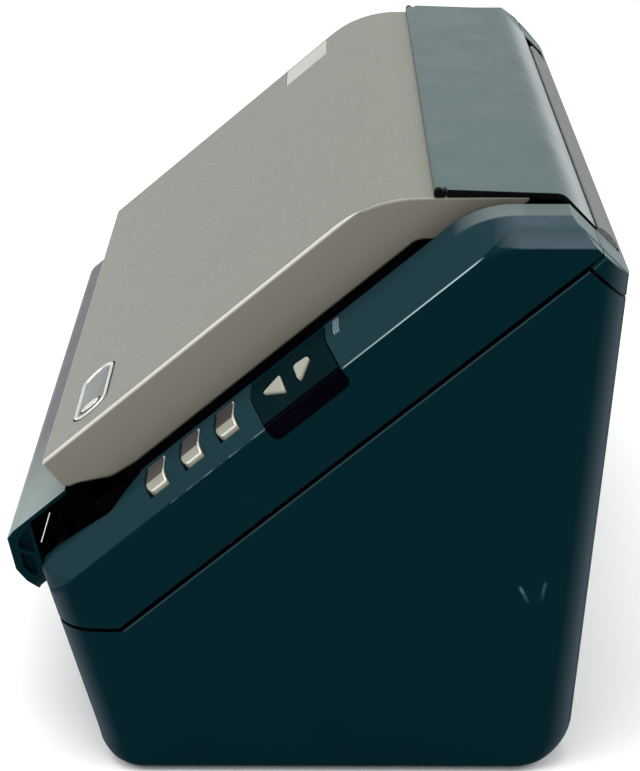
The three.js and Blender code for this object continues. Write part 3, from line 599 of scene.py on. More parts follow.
def scratch_share(finish, y, z):
    """The two faint scratches low at the rear of the right side."""
    strokes = []
    for start, end, strength in SCRATCHES:
        way = (Vector(end) - Vector(start)) * MM
        length = way.length
        way.normalize()
        dy = finish.maths("SUBTRACT", y, start[0] * MM)
        dz = finish.maths("SUBTRACT", z, start[1] * MM)
        along = finish.maths("ADD", finish.times(dy, way.x), finish.times(dz, way.y))
        across = finish.maths("SUBTRACT", finish.times(dy, way.y), finish.times(dz, way.x))
        trace = finish.ramp(finish.maths("ABSOLUTE", across), 0.7, 0.1, 0.0, strength)
        strokes.append(finish.times(trace, finish.ramp(along, -0.4, 0.6), finish.spread(along, length, 0.0)))
    patchy = finish.spread(finish.noise(900, 3.0, 0.7), 0.35, 0.6, 0.5, 1.0)
    right_side = finish.ramp(finish.axis("X"), 155, 155.6)
    return finish.times(finish.maths("MAXIMUM", *strokes), patchy, right_side)


def wear_and_highlight_share(finish, width, depth, up):
    """The edge at the chamfer's foot, a painted highlight above the display and faintly rubbed pale below it.
    """
    line = finish.zone((finish.apart(depth, CHAMFER_DEPTH - 0.1), 0.23, 0.1), (width, 155, 155.6))
    # painted highlight along the foot above the display
    above = finish.zone((up, 90.5, 91.5), (up, 92, 130, 0.5, 0.9))
    broken = finish.spread(finish.noise(240, 4.0, 0.7), 0.45, 0.6, 0.03, 0.22)
    # faint broken wear below the display
    below = finish.times(finish.zone((up, 26, 28), (up, 64, 62)), broken)
    return finish.times(line, finish.maths("MAXIMUM", above, below))


def sprayed_cover():
    """Champagne-silver sprayed paint: metal flake under a satin coat, with a painted highlight on the top
    edges, a painted shade line beside it, and painted shade on the sides and the front end.
    """
    finish = Finish("sprayed cover", 0.4, 0.3, 0.5)
    flake = finish.cells(1900)
    clouds = finish.noise(26, 3.0, 0.6)
    warm = finish.mottled(clouds, 0.3, 0.7, (0.134, 0.139, 0.110), (0.1445, 0.146, 0.116))
    paint = finish.mottled(flake, 0.15, 0.6, warm, (0.2, 0.207, 0.176), 0.3)
    depth, width = finish.depth_on_slope(), finish.from_middle()
    # painted shade line just inside the highlighted edge
    shade_beside_rim = finish.zone((width, 129.2, 129.7, 0.0, 0.35), (width, 130.3, 130))
    # painted highlight along the cover's top side edges
    rim = finish.zone((width, 130.15, 130.5, 0.0, 0.8), (depth, 1.2, 0.7))
    finish.colour(finish.tinted(
        paint,
        (shade_beside_rim, (0.10, 0.098, 0.08)),
        # painted shade on the cover's sides, darker and warmer
        (finish.ramp(width, 130.85, 130.96, 0.0, 0.8), (0.125, 0.110, 0.087)),
        # painted shade on the cover's front end, where it turns down
        (finish.ramp(finish.along_slope(), -2.8, -2.96, 0.0, 0.85), (0.085, 0.078, 0.085)),
        (rim, (0.50, 0.485, 0.44)),
    ))
    finish.rough(finish.noise(900, 2.0), 0.3, 0.7, 0.36, 0.5)
    finish.bump(finish.noise(1500, 2.0, 0.6), 0.012)
    return finish.material


def panel_face():
    """The front panel's sloping face, pale grey-teal as a painted sheen and darker toward the left."""
    finish = Finish("front panel face", 0.5, 0.0, 0.2)
    left = finish.ramp(finish.axis("X"), 115, 50)
    clouds = finish.noise(45, 3.0, 0.6)
    base = finish.mixed(left, (0.15, 0.19, 0.18), (0.075, 0.07, 0.08))
    finish.colour(finish.mottled(clouds, 0.3, 0.75, base, (0.12, 0.14, 0.14), 0.25))
    finish.rough(clouds, 0.3, 0.7, 0.45, 0.58)
    finish.bump(finish.noise(2400, 3.0, 0.6), 0.02)
    return finish.material


def rough_plastic():
    """Grey plastic with a coarse leather-like grain and pale worn peaks."""
    finish = Finish("rear grey plastic", 0.65, 0.0, 0.3)
    grains = finish.noise(1100, 4.0, 0.7)
    clouds = finish.noise(120, 4.0, 0.7)
    base = finish.mottled(clouds, 0.35, 0.7, (0.098, 0.1, 0.102), (0.122, 0.124, 0.125))
    finish.colour(finish.mottled(grains, 0.5, 0.7, base, (0.26, 0.26, 0.255), 0.7))
    finish.rough(grains, 0.3, 0.7, 0.55, 0.75)
    finish.bump(grains, 0.25)
    return finish.material


GROOVE_PITCH = 1.3


def grooved_rubber():
    """Black roller rubber with fine grooves round it and a grey dusting of paper lint."""
    finish = Finish("black rubber", 0.8, 0.0, 0.4)
    lint = finish.noise(300, 4.0, 0.7)
    finish.colour(finish.mottled(lint, 0.45, 0.8, (0.013, 0.013, 0.014), (0.045, 0.044, 0.042)))
    finish.rough(lint, 0.3, 0.7, 0.7, 0.9)
    turns = finish.times(finish.axis("X"), math.tau / (GROOVE_PITCH * MM))
    finish.bump(finish.spread(finish.maths("SINE", turns), -1.0, 1.0), 0.2)
    finish.bump(finish.noise(1800, 3.0, 0.6), 0.03)
    return finish.material


def flap_plastic():
    """Satin grey-green, its bent lower edge paler with a painted reflection."""
    finish = Finish("flap plastic", 0.36, 0.0, 0.36)
    clouds = finish.noise(50, 3.0, 0.6)
    base = finish.mottled(clouds, 0.3, 0.75, (0.017, 0.046, 0.046), (0.024, 0.053, 0.052))
    # painted reflection on the flap's bent lower edge
    finish.colour(finish.mixed(finish.ramp(finish.axis("Y"), 74.5, 79.5), base, (0.21, 0.235, 0.235)))
    finish.rough(clouds, 0.3, 0.7, 0.32, 0.42)
    finish.bump(finish.noise(2400, 3.0, 0.6), 0.012)
    return finish.material


def plain(name, colour, light, roughness, metallic=0.0, specular=0.5, grain=0.5, relief=0.01):
    finish = Finish(name, roughness, metallic, specular)
    spots = finish.noise(1 / (grain * MM), 3.0, 0.6)
    clouds = finish.noise(50, 3.0, 0.6)
    finish.colour(finish.mottled(clouds, 0.3, 0.75, colour, light))
    finish.rough(spots, 0.3, 0.7, max(roughness - 0.05, 0.03), roughness + 0.06)
    finish.bump(spots, relief)
    return finish.material


def brushed(name, colour, roughness, along=(1, 60, 60)):
    finish = Finish(name, roughness, 1.0)
    lines = finish.noise(180, 3.0, 0.6, finish.stretched(along))
    finish.colour(finish.mottled(lines, 0.3, 0.7, colour, tuple(1.25 * c for c in colour)))
    finish.rough(lines, 0.3, 0.7, roughness - 0.06, roughness + 0.1)
    finish.bump(lines, 0.01)
    return finish.material


def clear_glass():
    finish = Finish("scan glass", 0.03, 0.0, 0.5)
    finish.colour((0.75, 0.85, 0.84))
    finish.shader.inputs["Transmission Weight"].default_value = 0.9
    finish.shader.inputs["IOR"].default_value = 1.5
    finish.rough(finish.noise(30, 3.0), 0.3, 0.7, 0.02, 0.08)
    return finish.material


# ---- camera, floor and light, in metres, degrees and watts ----
CAMERA_LENS = 107.39
CAMERA_AT = (0.761, 0.006, 0.35346)
CAMERA_TURN = (90 - 20.752, 0, 90 + 0.2213)
FLOOR_HALF = 6
SKY_COLOUR = (0.97, 0.985, 1, 1)
SKY_STRENGTH = 0.85
LAMPS_AIM = Vector((0, 0, 0.08))
LAMPS = (
    ("overhead", (0.1, -0.25, 1.6), 1.4, 22),
    ("side", (1.5, 0.5, 0.9), 0.9, 4),
    ("front", (0.5, -1.2, 0.95), 0.8, 7),
    ("back", (0.2, 1.2, 0.9), 0.7, 6),
)


def camera():
    data = bpy.data.cameras.new("camera")
    data.lens = CAMERA_LENS
    data.sensor_width = 36
    data.clip_end = 50
    made = bpy.data.objects.new("camera", data)
    made.location = CAMERA_AT
    made.rotation_euler = [math.radians(angle) for angle in CAMERA_TURN]
    bpy.context.scene.collection.objects.link(made)
    bpy.context.scene.camera = made


def pale_floor():
    half = FLOOR_HALF / MM
    corners = [(-half, -half, 0), (half, -half, 0), (half, half, 0), (-half, half, 0)]
    floor = mesh_piece("floor", corners, [(0, 1, 2, 3)])
    finish = Finish("pale floor", 0.75, 0.0, 0.2)
    finish.colour(finish.mixed(finish.noise(4, 3.0), (0.84, 0.84, 0.84), (0.87, 0.87, 0.865)))
    floor.data.materials.append(finish.material)


def lighting():
    world = bpy.data.worlds.new("studio")
    bpy.context.scene.world = world
    world.use_nodes = True
    sky = world.node_tree.nodes["Background"]
    sky.inputs["Color"].default_value = SKY_COLOUR
    sky.inputs["Strength"].default_value = SKY_STRENGTH
    for name, place, size, power in LAMPS:
        light = bpy.data.lights.new(name, "AREA")
        light.size = size
        light.energy = power
        lamp = bpy.data.objects.new(name, light)
        lamp.location = place
        lamp.rotation_euler = (LAMPS_AIM - Vector(place)).to_track_quat("-Z", "Y").to_euler()
        bpy.context.scene.collection.objects.link(lamp)
    bpy.context.scene.view_settings.view_transform = "Standard"


# ---- casing ----
SLOPE_NORMAL = Vector((0, -math.sin(SLOPE), math.cos(SLOPE)))
SLOPE_WAY = Vector((0, math.cos(SLOPE), math.sin(SLOPE)))
PARTING_END = slope_at_height(PARTING_DEPTH, REAR_EDGE[1] - 0.7)



def wall_front(z):
    """Y of the casing's front wall at z; the wall leans out upward."""
    return -62.9 - 0.2843 * (z - 7.5)


def wall_back(z):
    """Y of the casing's rear wall at z."""
    return 79.4 + REAR_LEAN * (z - 9)


def body_section(z, inset, side=0.0, nose=0.0, tail=0.0):
    """The body's outline at z; side, nose and tail pull it in where its foot is rounded."""
    x = HALF_WIDTH - inset - side
    front, back = wall_front(z) + inset + nose, wall_back(z) - inset - tail
    r = BODY_CORNER - tail * 0.5 - inset
    right, left, ahead, behind = x - r, -x + r, front + r, back - r
    corners = ((right, behind, 0), (left, behind, 90), (left, ahead, 180), (right, ahead, 270))
    return [(px, py, z) for cx, cy, a in corners for px, py in arc(cx, cy, r, a, a + 90, 10)]


def foot_inset(height, radius):
    """How far a foot rounded to the radius lies inside the wall at a height above its lowest point."""
    drop = max(0.0, radius - height)
    return radius - math.sqrt(radius * radius - drop * drop)


def body_loft(name, inset=0.0):
    base = BODY_FOOT + inset
    heights = [FOOT_SIDE * (1 - math.cos(math.pi / 2 * k / 5)) for k in range(6)]
    heights += [FOOT_SIDE + (FOOT_REAR - FOOT_SIDE) * k / 8 for k in range(1, 9)]
    rings = []
    for h in heights:
        insets = (foot_inset(h, radius) for radius in (FOOT_SIDE, FOOT_FRONT, FOOT_REAR))
        rings.append(body_section(base + h, inset, *insets))
    rings.append(body_section(BODY_TOP, inset))
    return loft(name, rings)


def cheek_outline(depth, top, front):
    """The cheek in the Y, Z plane, its slope at a depth and its level top at a height."""
    slope_top = slope_at_height(depth, top)
    rear_top = (REAR_EDGE[0] + REAR_EDGE[1] - top, top)
    points = [(AHEAD, SILL), (SILL_END, SILL), PARTING_END, REAR_EDGE, rear_top]
    return points + rounded(rear_top, slope_top, front[0], CHEEK_ROUND, 12) + front


def cheek_rings():
    """Outlines of the right cheek from its inner face out, eased over the crease on to the chamfer."""
    low, high, level, nose = CHAMFER_DEPTH, CHEEK_DEPTH, (AHEAD, 63), (-88, 49)
    levelled = rounded(slope_at_height(low, 100), slope_at_height(low, level[1]), level, 12, 6)
    drooped = rounded(slope_at_height(high, 100), slope_at_height(high, 67.5), nose, 10, 6)
    side = cheek_outline(low, CHAMFER_TOP, levelled + [level])
    flat = cheek_outline(high, CHEEK_TOP, drooped + [nose])
    stops = [(CHEEK_INNER, 0)]
    stops += [(CREASE_START + u, chamfer_share(CREASE_START + u)) for u in range(CREASE_EASE + 1)]
    stops += [(154.6, 0.86), (155.3, 0.937), (155.75, 1.0), (HALF_WIDTH, 1.09)]
    return [
        [(x, fy + (sy - fy) * t, fz + (sz - fz) * t) for (fy, fz), (sy, sz) in zip(flat, side)]
        for x, t in stops
    ]


def chamfer_share(x):
    """How far the cheek's outer face has come down from its flat top to the chamfer's foot at x."""
    u = max(0.0, min(CREASE_EASE, x - CREASE_START))
    straight = max(0.0, x - CREASE_START - CREASE_EASE)
    return u * u / (2 * CREASE_EASE * CHAMFER_RUN) + straight / CHAMFER_RUN


def window_shape(name, grow, x0, x1):
    """The display's outline on the casing's side, square above and rounded below."""
    s0, s1, foot = BEZEL[0] - grow, BEZEL[1] + grow, WINDOW_FOOT + grow
    corners = [(s0, 24, 0), (s1, 24, 0), (s1, foot, 2.2), (s0, foot, 2.2)]
    return loft(name, [[(x, *on_slope(s, d)) for s, d in rounded_outline(corners, 6)] for x in (x0, x1)])


# ---- the hollow in the cheek's inner top edge: distance up the slope and the X it reaches ----
SCOOP = ((-21, 138.8), (-15, 141.6), (-6, 144), (1, 145.5), (8.7, 147), (14.5, 140), (19, 135.2))


def through(points, steps=5):
    """A smooth curve through the points."""
    ends = [points[0], *points, points[-1]]
    curve = []
    for a, b, c, d in zip(ends, ends[1:], ends[2:], ends[3:]):
        for u in (k / steps for k in range(steps)):
            curve.append(tuple(
                q + 0.5 * u * (r - p + u * (2 * p - 5 * q + 4 * r - t + u * (3 * (q - r) + t - p)))
                for p, q, r, t in zip(a, b, c, d)
            ))
    return curve + [points[-1]]


def cheek_scoop():
    foot, lid = CHEEK_INNER - 5, CHEEK_DEPTH - 10
    rings = []
    for s, x in through(SCOOP):
        corners = ((foot, lid), (x, lid), (x, CHEEK_DEPTH), (foot, CHEEK_DEPTH + 0.577 * (x - foot)))
        rings.append([(px, *on_slope(s, d)) for px, d in corners])
    return loft("cheek scoop", rings)


def in_joint(point, normal):
    """True for the faces that close the thin gap between the two casings, which get the painted shadow."""
    depth = slope_place(point)[1]
    facing = abs(normal.dot(SLOPE_NORMAL)) > 0.9 and PARTING_DEPTH - 0.2 < depth < PARTING_DEPTH + 1.3
    return facing or (abs(normal.z) > 0.9 and SILL - 1.4 < point.z < SILL + 0.3)


def upper_casing(material, joint_shadow):
    half = loft("upper_casing_right", cheek_rings())
    cut(keep(half, body_loft("trim")), cheek_scoop())
    other = mirrored(half, "upper_casing_left")
    cut(half, *control_wells(), rod("pin hole", PIN_HOLE, 120, 136, *HINGE))
    cut(other, rod("pin hole", PIN_HOLE, -136, -120, *HINGE))
    front = [(-66.5, SILL), (SILL_END, SILL), (SILL_END, 56.3)]
    sill = prism("upper_casing_sill", front, -SILL_HALF, SILL_HALF)
    bridge = slope_points((152, 47.6), (152, 42), (163, 42), (165.4, 45.4), (165.2, 47.6))
    bar = prism("upper_casing_bridge", bridge, -SILL_HALF, SILL_HALF)
    for piece in (half, other, sill, bar):
        edges_eased(cleaned(piece))
        placed(piece, "base", material, "casing", *(("upper_casing",) if piece is half else ()))
        painted(piece, joint_shadow, in_joint)


def control_wells():
    """Cutters for the control panel, the display, the lamp and the keys on the right cheek."""
    gap, key, top, deep = 0.3, KEY_HALF + KEY_GAP, 15, 30
    (lamp0, lamp1), (s0, s1) = LAMP_X, LAMP_AT
    wells = [
        sloped_block("bezel well", 135.9, 154.9, BEZEL[0] - gap, BEZEL[1] + gap, top, 32.6),
        window_shape("window well", 0.25, 153.4, ASIDE),
        sloped_block("lamp well", lamp0 - gap, lamp1 + 0.9, s0 - gap, s1 + gap, top, deep),
    ]
    start, end = BUTTON_START - 0.5, BUTTON_FOOT + 0.5
    return wells + [sloped_block("well", start, end, s - key, s + key, top, deep) for s in BUTTONS]


# ---- openings in the rear wall for the data socket, the power inlet and the switch: X and Z ranges ----
REAR_OPENINGS = ((29, 43.2, 10.6, 22.4), (-41.4, -28.6, 10.6, 22.4), (-76, -54, 12, 26))


def lower_casing(material, joint_shadow):
    body = body_loft("lower_casing_shell")
    below = [(AHEAD, -5), (AHEAD, SILL - 1.0), (SILL_END + 0.3, SILL - 1.0)]
    below += [slope_at_height(PARTING_DEPTH + 0.95, 158.1), (88.9, 147.9), (BEHIND, 137.8), (BEHIND, -5)]
    keep(body, prism("below", below, -ASIDE, ASIDE))
    cut(
        body,
        body_loft("inside", WALL),
        block("exit notch", -132, 132, -99, -66, 44.3, 60),
        block("floor opening", -118, 118, -40, 52, 0, 9),
        *(block("rear opening", x0, x1, 70, 90, z0, z1) for x0, x1, z0, z1 in REAR_OPENINGS),
    )
    placed(edges_eased(cleaned(body)), "base", material, "casing", "lower_casing")
    painted(body, joint_shadow, in_joint)


# ---- front unit ----
def front_cover(material, pocket_shadow):
    corner = slope_at_height(0, COVER_TOP)
    rear_top = (COVER_REAR, COVER_TOP)
    path = [(*on_slope(-3, 4), 0), (*on_slope(-3, 0), 1.6), (*corner, COVER_ROUND), (*rear_top, 0)]
    outline = rounded_path(path, 12)
    skirt_top = slope_at_height(SKIRT_DEPTH, 159.5)
    path = [(COVER_REAR, COVER_TOP - 0.7, 0), (*slope_at_height(PATH_FRONT - 0.4, 159.5), 0), (*skirt_top, 6)]
    path += [(*on_slope(s, d), r) for s, d, r in ((19, SKIRT_DEPTH, 9), (10.5, 17.1, 8), (1.8, 12.4, 5))]
    path += [(*on_slope(-3, 10.9), 3), (*on_slope(-3, 4), 0)]
    outline += rounded_path(path, 4)[:-1]
    shell = pillow("cover_shell", outline, -COVER_HALF, COVER_HALF, cover_edge, 6)
    top = slope_at_height(WALL, COVER_TOP - WALL)
    inner = slope_points((-0.3, 40), (-0.3, WALL))
    inner += rounded(on_slope(0, WALL), top, (COVER_REAR, COVER_TOP - WALL), COVER_ROUND - 2, 8)
    inner += [slope_at_height(PATH_FRONT - 2.9, COVER_TOP - WALL), slope_at_height(PATH_FRONT - 2.9, 140)]
    hollow = prism("hollow", inner, -COVER_HALF + WALL, COVER_HALF - WALL)
    badge_pocket = on_top("badge pocket", racetrack(0.55), -5, POCKET)
    name_pocket = on_top("name pocket", name_outline(0.3), -5, POCKET)
    cut(shell, hollow, badge_pocket, name_pocket)
    placed(smoothed(shell), "front_unit", material, "cover", "front_cover")
    # the badge's pocket gets the painted shadow round the badge
    painted(shell, pocket_shadow, in_badge_pocket)


def cover_edge(y, z):
    """The cover's side edges are crisp on the slope, fuller over the top and thin at the rear tip."""
    tip = min(1.0, max(0.08, (COVER_REAR - y) / 40))
    return (1.3 if z > 168 else 0.85) * (tip if y > 0 else 1)


# ---- centre as (x, s), length across and width up the slope ----
BADGE = (101, 15, 38, 13)
NAME_PLATE = (-117, 97.5, 24, 20)
POCKET = 1.1


def racetrack(grow):
    x, s, length, width = BADGE
    r, run = width / 2 + grow, (length - width) / 2
    return arc(x + run, s, r, -90, 90, 20) + arc(x - run, s, r, 90, 270, 20)


def name_outline(grow):
    x, s, length, width = NAME_PLATE
    a, b = length / 2 + grow, width / 2 + grow
    return [(x - a, s - b), (x + a, s - b), (x + a, s + b), (x - a, s + b)]


# Faces of the badge's pocket, which get the painted shadow.
def in_badge_pocket(point, _):
    s, d = slope_place(point)
    x, middle, length, width = BADGE
    return abs(point.x - x) < length / 2 + 2 and abs(s - middle) < width / 2 + 1 and 0.2 < d < POCKET + 0.2


def oval(x, s, half_x, half_s, d):
    turns = [math.tau * i / 28 for i in range(28)]
    return [(x + half_x * math.cos(a), *on_slope(s + half_s * math.sin(a), d)) for a in turns]


def badge(rim_material, face_material, mark_material, shadow_material):
    """A blank racetrack badge with a raised rim and one plain oval, with a painted shadow round the oval."""
    rim_steps = ((0, 0.8), (0, -0.25), (-0.35, -0.5), (-0.9, -0.5), (-1.3, -0.2), (-1.3, 0.3))
    face_steps = ((-1.35, 0.3), (-1.35, -0.05), (-3, -0.25), (-5.2, -0.3))
    x, s = BADGE[0] + 12.5, BADGE[1]
    # painted shadow: a dark oval ground round the raised mark
    ground = [oval(x, s, 3.3, 4.2, d) for d in (-0.1, -0.34)]
    mark = [oval(x, s, *half, d) for *half, d in ((2.6, 3.4, -0.2), (2.6, 3.4, -0.45), (2.1, 2.9, -0.55))]
    rim = loft("badge_rim", [at_depth(racetrack(grow), d) for grow, d in rim_steps])
    placed(smoothed(rim), "front_unit", rim_material, "cover", "badge")
    face = loft("badge_face", [at_depth(racetrack(grow), d) for grow, d in face_steps])
    placed(smoothed(face), "front_unit", face_material, "display")
    placed(smoothed(loft("badge_mark_ground", ground)), "front_unit", shadow_material, "display")
    placed(smoothed(loft("badge_mark", mark)), "front_unit", mark_material, "cover")


def name_plate(material):
    plate = on_top("name_plate_face", name_outline(0), 0.05, 0.8)
    placed(edges_eased(plate, 0.12, 2), "front_unit", material, "cover", "name_plate")


def front_frame(material, face_material, inside_shadow):
    top, floor, end_top = PANEL_DEPTH + 2.4, PATH_FRONT - 2.2, PANEL_DEPTH + 1.3
    outer = slope_points((9.2, 16.8), (1.7, 12.8), (-3.3, PANEL_DEPTH))
    outer += rounded(outer[-1], on_slope(-25, PANEL_DEPTH), (-90.66, 65.2), 2.2, 4)
    outer += [(-90.66, 65.2), (-88.4, 54.9), (-85.2, 51), (-81.5, 48.6)]
    outer += slope_points((-30, PATH_FRONT), (10, PATH_FRONT))
    rear = slope_points((-26, floor), (10.5, floor), (11, 20.2), (1.2, 15.2), (-3.6, top))
    nose = [on_slope(-22.5, top), (-87.2, 64), (-86, 56), (-83.6, 53.2), on_slope(-27, floor)]
    upper_cell = [on_slope(-20.1, top), on_slope(-22.5, top), (-87.2, 64), (-86.9, 61.7), (-82.5, 60.3)]
    lower_cell = [(-86.7, 60.4), (-86, 56), (-83.6, 53.2), (-81.8, 53), (-82.4, 59.1)]
    rear_end = slope_points((-26, floor), (-2, floor), (-2, end_top), (-18.5, end_top), (-23.4, 22.4))
    frame = prism("front_frame_skin", outer, -130.5, 130.5)
    chambers = [prism("chamber", rear + nose, -112, 112)]
    ends = ((rear + nose, 115, 124), (rear_end, 123, 140), (upper_cell, 128, 140), (lower_cell, 128, 140))
    for side in (-1, 1):
        for outline, x0, x1 in ends:
            chambers.append(prism("chamber", outline, side * x0, side * x1))
        chambers.append(sloped_block("open end", side * 124, side * 140, -3.4, 14, 8, 34))
    cut(frame, *chambers)
    cut(frame, rod("pin bore", PIN_BORE, -150, 150, *HINGE))
    placed(edges_eased(cleaned(frame), 0.3), "front_unit", material, "casing", "front_frame")
    # the panel's sloping face gets the painted sheen
    painted(frame, face_material, on_panel_face)
    # the frame's inside gets the painted shadow
    painted(frame, inside_shadow, inside_frame)


def on_panel_face(point, normal):
    return normal.dot(SLOPE_NORMAL) > 0.97 and slope_place(point)[1] < PANEL_DEPTH + 0.4


# Faces inside the front frame, given the painted shadow.
def inside_frame(point, normal):
    s, d = slope_place(point)
    return s > -22 and (d > PANEL_DEPTH + 0.9 or (abs(normal.x) > 0.5 and abs(point.x) < 130.3))


def spring_legs(material):
    """The straight leg of each hinge spring, seen in the gap beside the front panel."""
    for side, name in ((1, "hinge_spring_right"), (-1, "hinge_spring_left")):
        foot, tip = Vector((side * 131.9, -80.1, 64.6)), Vector((side * 131.9, -77.1, 74.4))
        leg = wire(name, foot, tip, 0.24)
        placed(smoothed(leg), "front_unit", material, "steel")


def feed_cover(material, edge_material):
    y, z = COVER_HINGE
    bend, end = (72.8, 173.1), (82.2, 163.4)
    inner = (bend[0] - 0.9, bend[1] - 2)
    outline = arc(y, z, 1.1, 270, 90, 8)
    outline += rounded((y, z + 1.1), bend, end, 5, 10) + [end, (end[0] - 1.4, end[1] - 0.8)]
    outline += rounded(end, inner, (64, inner[1]), 3, 6) + [(66, inner[1]), (64.5, z - 1.1)]
    flap = pillow("feed_cover_flap", outline, -COVER_HALF, COVER_HALF, 0.35, 3)
    for side in (-1, 1):
        x = sorted((side * 128.2, side * 140))
        cut(flap, block("hinge notch", *x, 30, 39.6, 165, 180))
    placed(smoothed(flap), "feed_cover_flap", material, "flap", "feed_cover")
    # the flap's end faces get the painted shadow
    edge = COVER_HALF - 0.2
    painted(flap, edge_material, lambda point, normal: abs(point.x) > edge and abs(normal.x) > 0.5)


# ---- rear ----
def rear_cover(material, inside_shadow):
    outline = [slope_at_height(PARTING_DEPTH + 0.2, 159.4), (89.3, 148.3)]
    outline += [(BEHIND, 138.6), (BEHIND, 146), (82.3, 162.7)]
    cover = keep(prism("rear_cover_shell", outline, -ASIDE, ASIDE), body_loft("trim"))
    slot = [(80, 158.5), (84.6, 153.6), (89.3, 153.6), (89.3, 165), (80, 168)]
    cut(
        cover,
        prism("slot", slot, -131.8, 131.4),
        block("plate slot", -94.6, 129.8, 83.2, 86.4, 140, 160),
        block("hollow", -131.6, 131.6, 70, 83, 150, 161),
    )
    placed(edges_eased(cleaned(cover), 0.25), "base", material, "rear_trim", "rear_top_cover")
    # the slot's inside gets the painted shadow
    painted(cover, inside_shadow, inside_slot)


def inside_slot(point, normal):
    return abs(point.x) < 131.9 and point.y < 89.35 and normal.y + normal.z < 1.3


# ---- the paper support's grip: its left end, and its upper and lower outlines as (y, z) ----
GRIP_END = -108
GRIP_FRONT = 82.8
GRIP_REAR = 88.7
GRIP_TOP = (
    (GRIP_FRONT, 162.9), (83.1, 163.2), (83.7, 163.15), (85.2, 162.1),
    (86.4, 161.0), (87.6, 159.6), (88.5, 158.4), (GRIP_REAR, 157.9),
)
GRIP_FOOT = (
    (GRIP_FRONT, 156.9), (84.9, 154.7), (85.3, 154.6), (87.4, 154.6), (87.9, 154.9), (GRIP_REAR, 157.2),
)
PLATE_LENGTH = 86


def height_on(points, y):
    """Height of an open outline at y, by straight lines between its points."""
    for (y0, z0), (y1, z1) in zip(points, points[1:]):
        if y <= y1:
            return z0 + (z1 - z0) * max(0.0, y - y0) / (y1 - y0)
    return points[-1][1]


def grip_section(x, reach):
    """The grip's outline at x, cut off at Y = reach."""
    ys = [GRIP_FRONT + (reach - GRIP_FRONT) * k / 16 for k in range(17)]
    ring = [(x, y, height_on(GRIP_TOP, y)) for y in ys]
    return ring + [(x, y, height_on(GRIP_FOOT, y)) for y in ys[::-1]]


def paper_support(material):
    turns = [math.pi / 2 * k / 10 for k in range(11)]
    rings = [grip_section(GRIP_END + 26 * (1 - math.cos(a)), 83.4 + 5.3 * math.sin(a)) for a in turns]
    rings += [grip_section(x, GRIP_REAR) for x in (-40, 40, COVER_HALF)]
    bar = loft("paper_support_grip", rings)
    placed(edges_eased(bar, 0.3, 2, 45), "paper_support", material, "rear_trim", "feed_support")
    lean = math.atan(REAR_LEAN)
    foot = (84.8 - PLATE_LENGTH * math.sin(lean), 152 - PLATE_LENGTH * math.cos(lean))
    plate = [(83.9, 157), (foot[0] - 1.2, foot[1]), (foot[0] + 1.2, foot[1]), (85.7, 157)]
    plate = prism("paper_support_plate", plate, -94, 129.2)
    placed(edges_eased(plate, 0.3), "paper_support", material, "rear_trim")


# ---- controls ----
def cheek_skin(x):
    """Depth of the cheek's outer face at x."""
    return CHEEK_DEPTH + (CHAMFER_DEPTH - CHEEK_DEPTH) * chamfer_share(x)


def function_buttons(material, top_shade, edge_material):
    """Each key follows the cheek's flat top, then stands proud as a ledge on the chamfer."""
    profile = [(BUTTON_START, 0.1), (137, 0.3), (140, 0.5), (143, 0.45), (145.6, 0.2), (146.9, -0.1)]
    profile += [(147.5, -0.35), (149, -0.7), (BUTTON_FOOT, -1.0)]
    base = 27.3
    for i, s in enumerate(BUTTONS):
        skin = [(x, cheek_skin(x) + d) for x, d in profile]
        outline = [(BUTTON_START, base), *skin, (BUTTON_FOOT, base)]
        key = across_slope(f"key_{i + 1}", outline, s - KEY_HALF, s + KEY_HALF)
        cut(key, key_corner(s - KEY_HALF))
        settle(edges_eased(cleaned(key), 0.45, 3, 30))
        placed(key, f"button_{i + 1}", material, "keys", f"function_button_{i + 1}")
        # painted shade on the keys' upper parts, under the cover's side
        painted(key, top_shade, lambda point, normal: point.x < 146.9 and normal.dot(SLOPE_NORMAL) > 0.6)
        # painted highlight on the keys' lit eased edges
        painted(key, edge_material, on_lit_edge)


def key_corner(s):
    """Cutter that rounds a key's lower outer corner, the one at s on the slope."""
    start, beyond = BUTTON_FOOT - KEY_CORNER, 154
    nose = [(start, s - 2), (beyond, s - 2), (beyond, s + KEY_CORNER)]
    for a in (0, 0.3, 0.6, 0.9, 1.2):
        nose.append((start + KEY_CORNER * math.cos(a), s + KEY_CORNER * (1 - math.sin(a))))
    return on_top("key corner", nose + [(start, s)], 15, 40)


def on_lit_edge(_, normal):
    """True on the eased edges that face up the slope or down the chamfer, which get the painted highlight."""
    up = normal.dot(SLOPE_NORMAL)
    return 0.15 < up < 0.96 and (normal.dot(SLOPE_WAY) > 0.25 or (normal.x > 0.8 and up < 0.6))


# ---- corners of the arrow keys: x, s and the rounding at each ----
DOWN_ARROW = ((147.5, 66.3, 0.3), (145.8, 73.5, 0.35), (151.2, 73.0, 0.45))
UP_ARROW = ((146.9, 85.0, 0.7), (146.3, 78.3, 1.0), (151.7, 77.6, 0.8))


def shrunk(points, by):
    cx, cs = sum(p[0] for p in points) / len(points), sum(p[1] for p in points) / len(points)
    return [(cx + (x - cx) * by, cs + (s - cs) * by) for x, s in points]


def arrow_key(name, points, body, node, material):
    """A soft triangle with a dished top."""
    outline = rounded_outline(points, 4)
    layers = ((1.0, 3.0), (1.0, -0.25), (0.97, -0.45), (0.86, -0.62), (0.8, -0.62), (0.7, -0.55))
    rings = [
        [(x, *on_slope(s, cheek_skin(x) + d)) for x, s in shrunk(outline, by)] for by, d in layers
    ]
    placed(smoothed(loft(name, rings)), body, material, "keys", node)


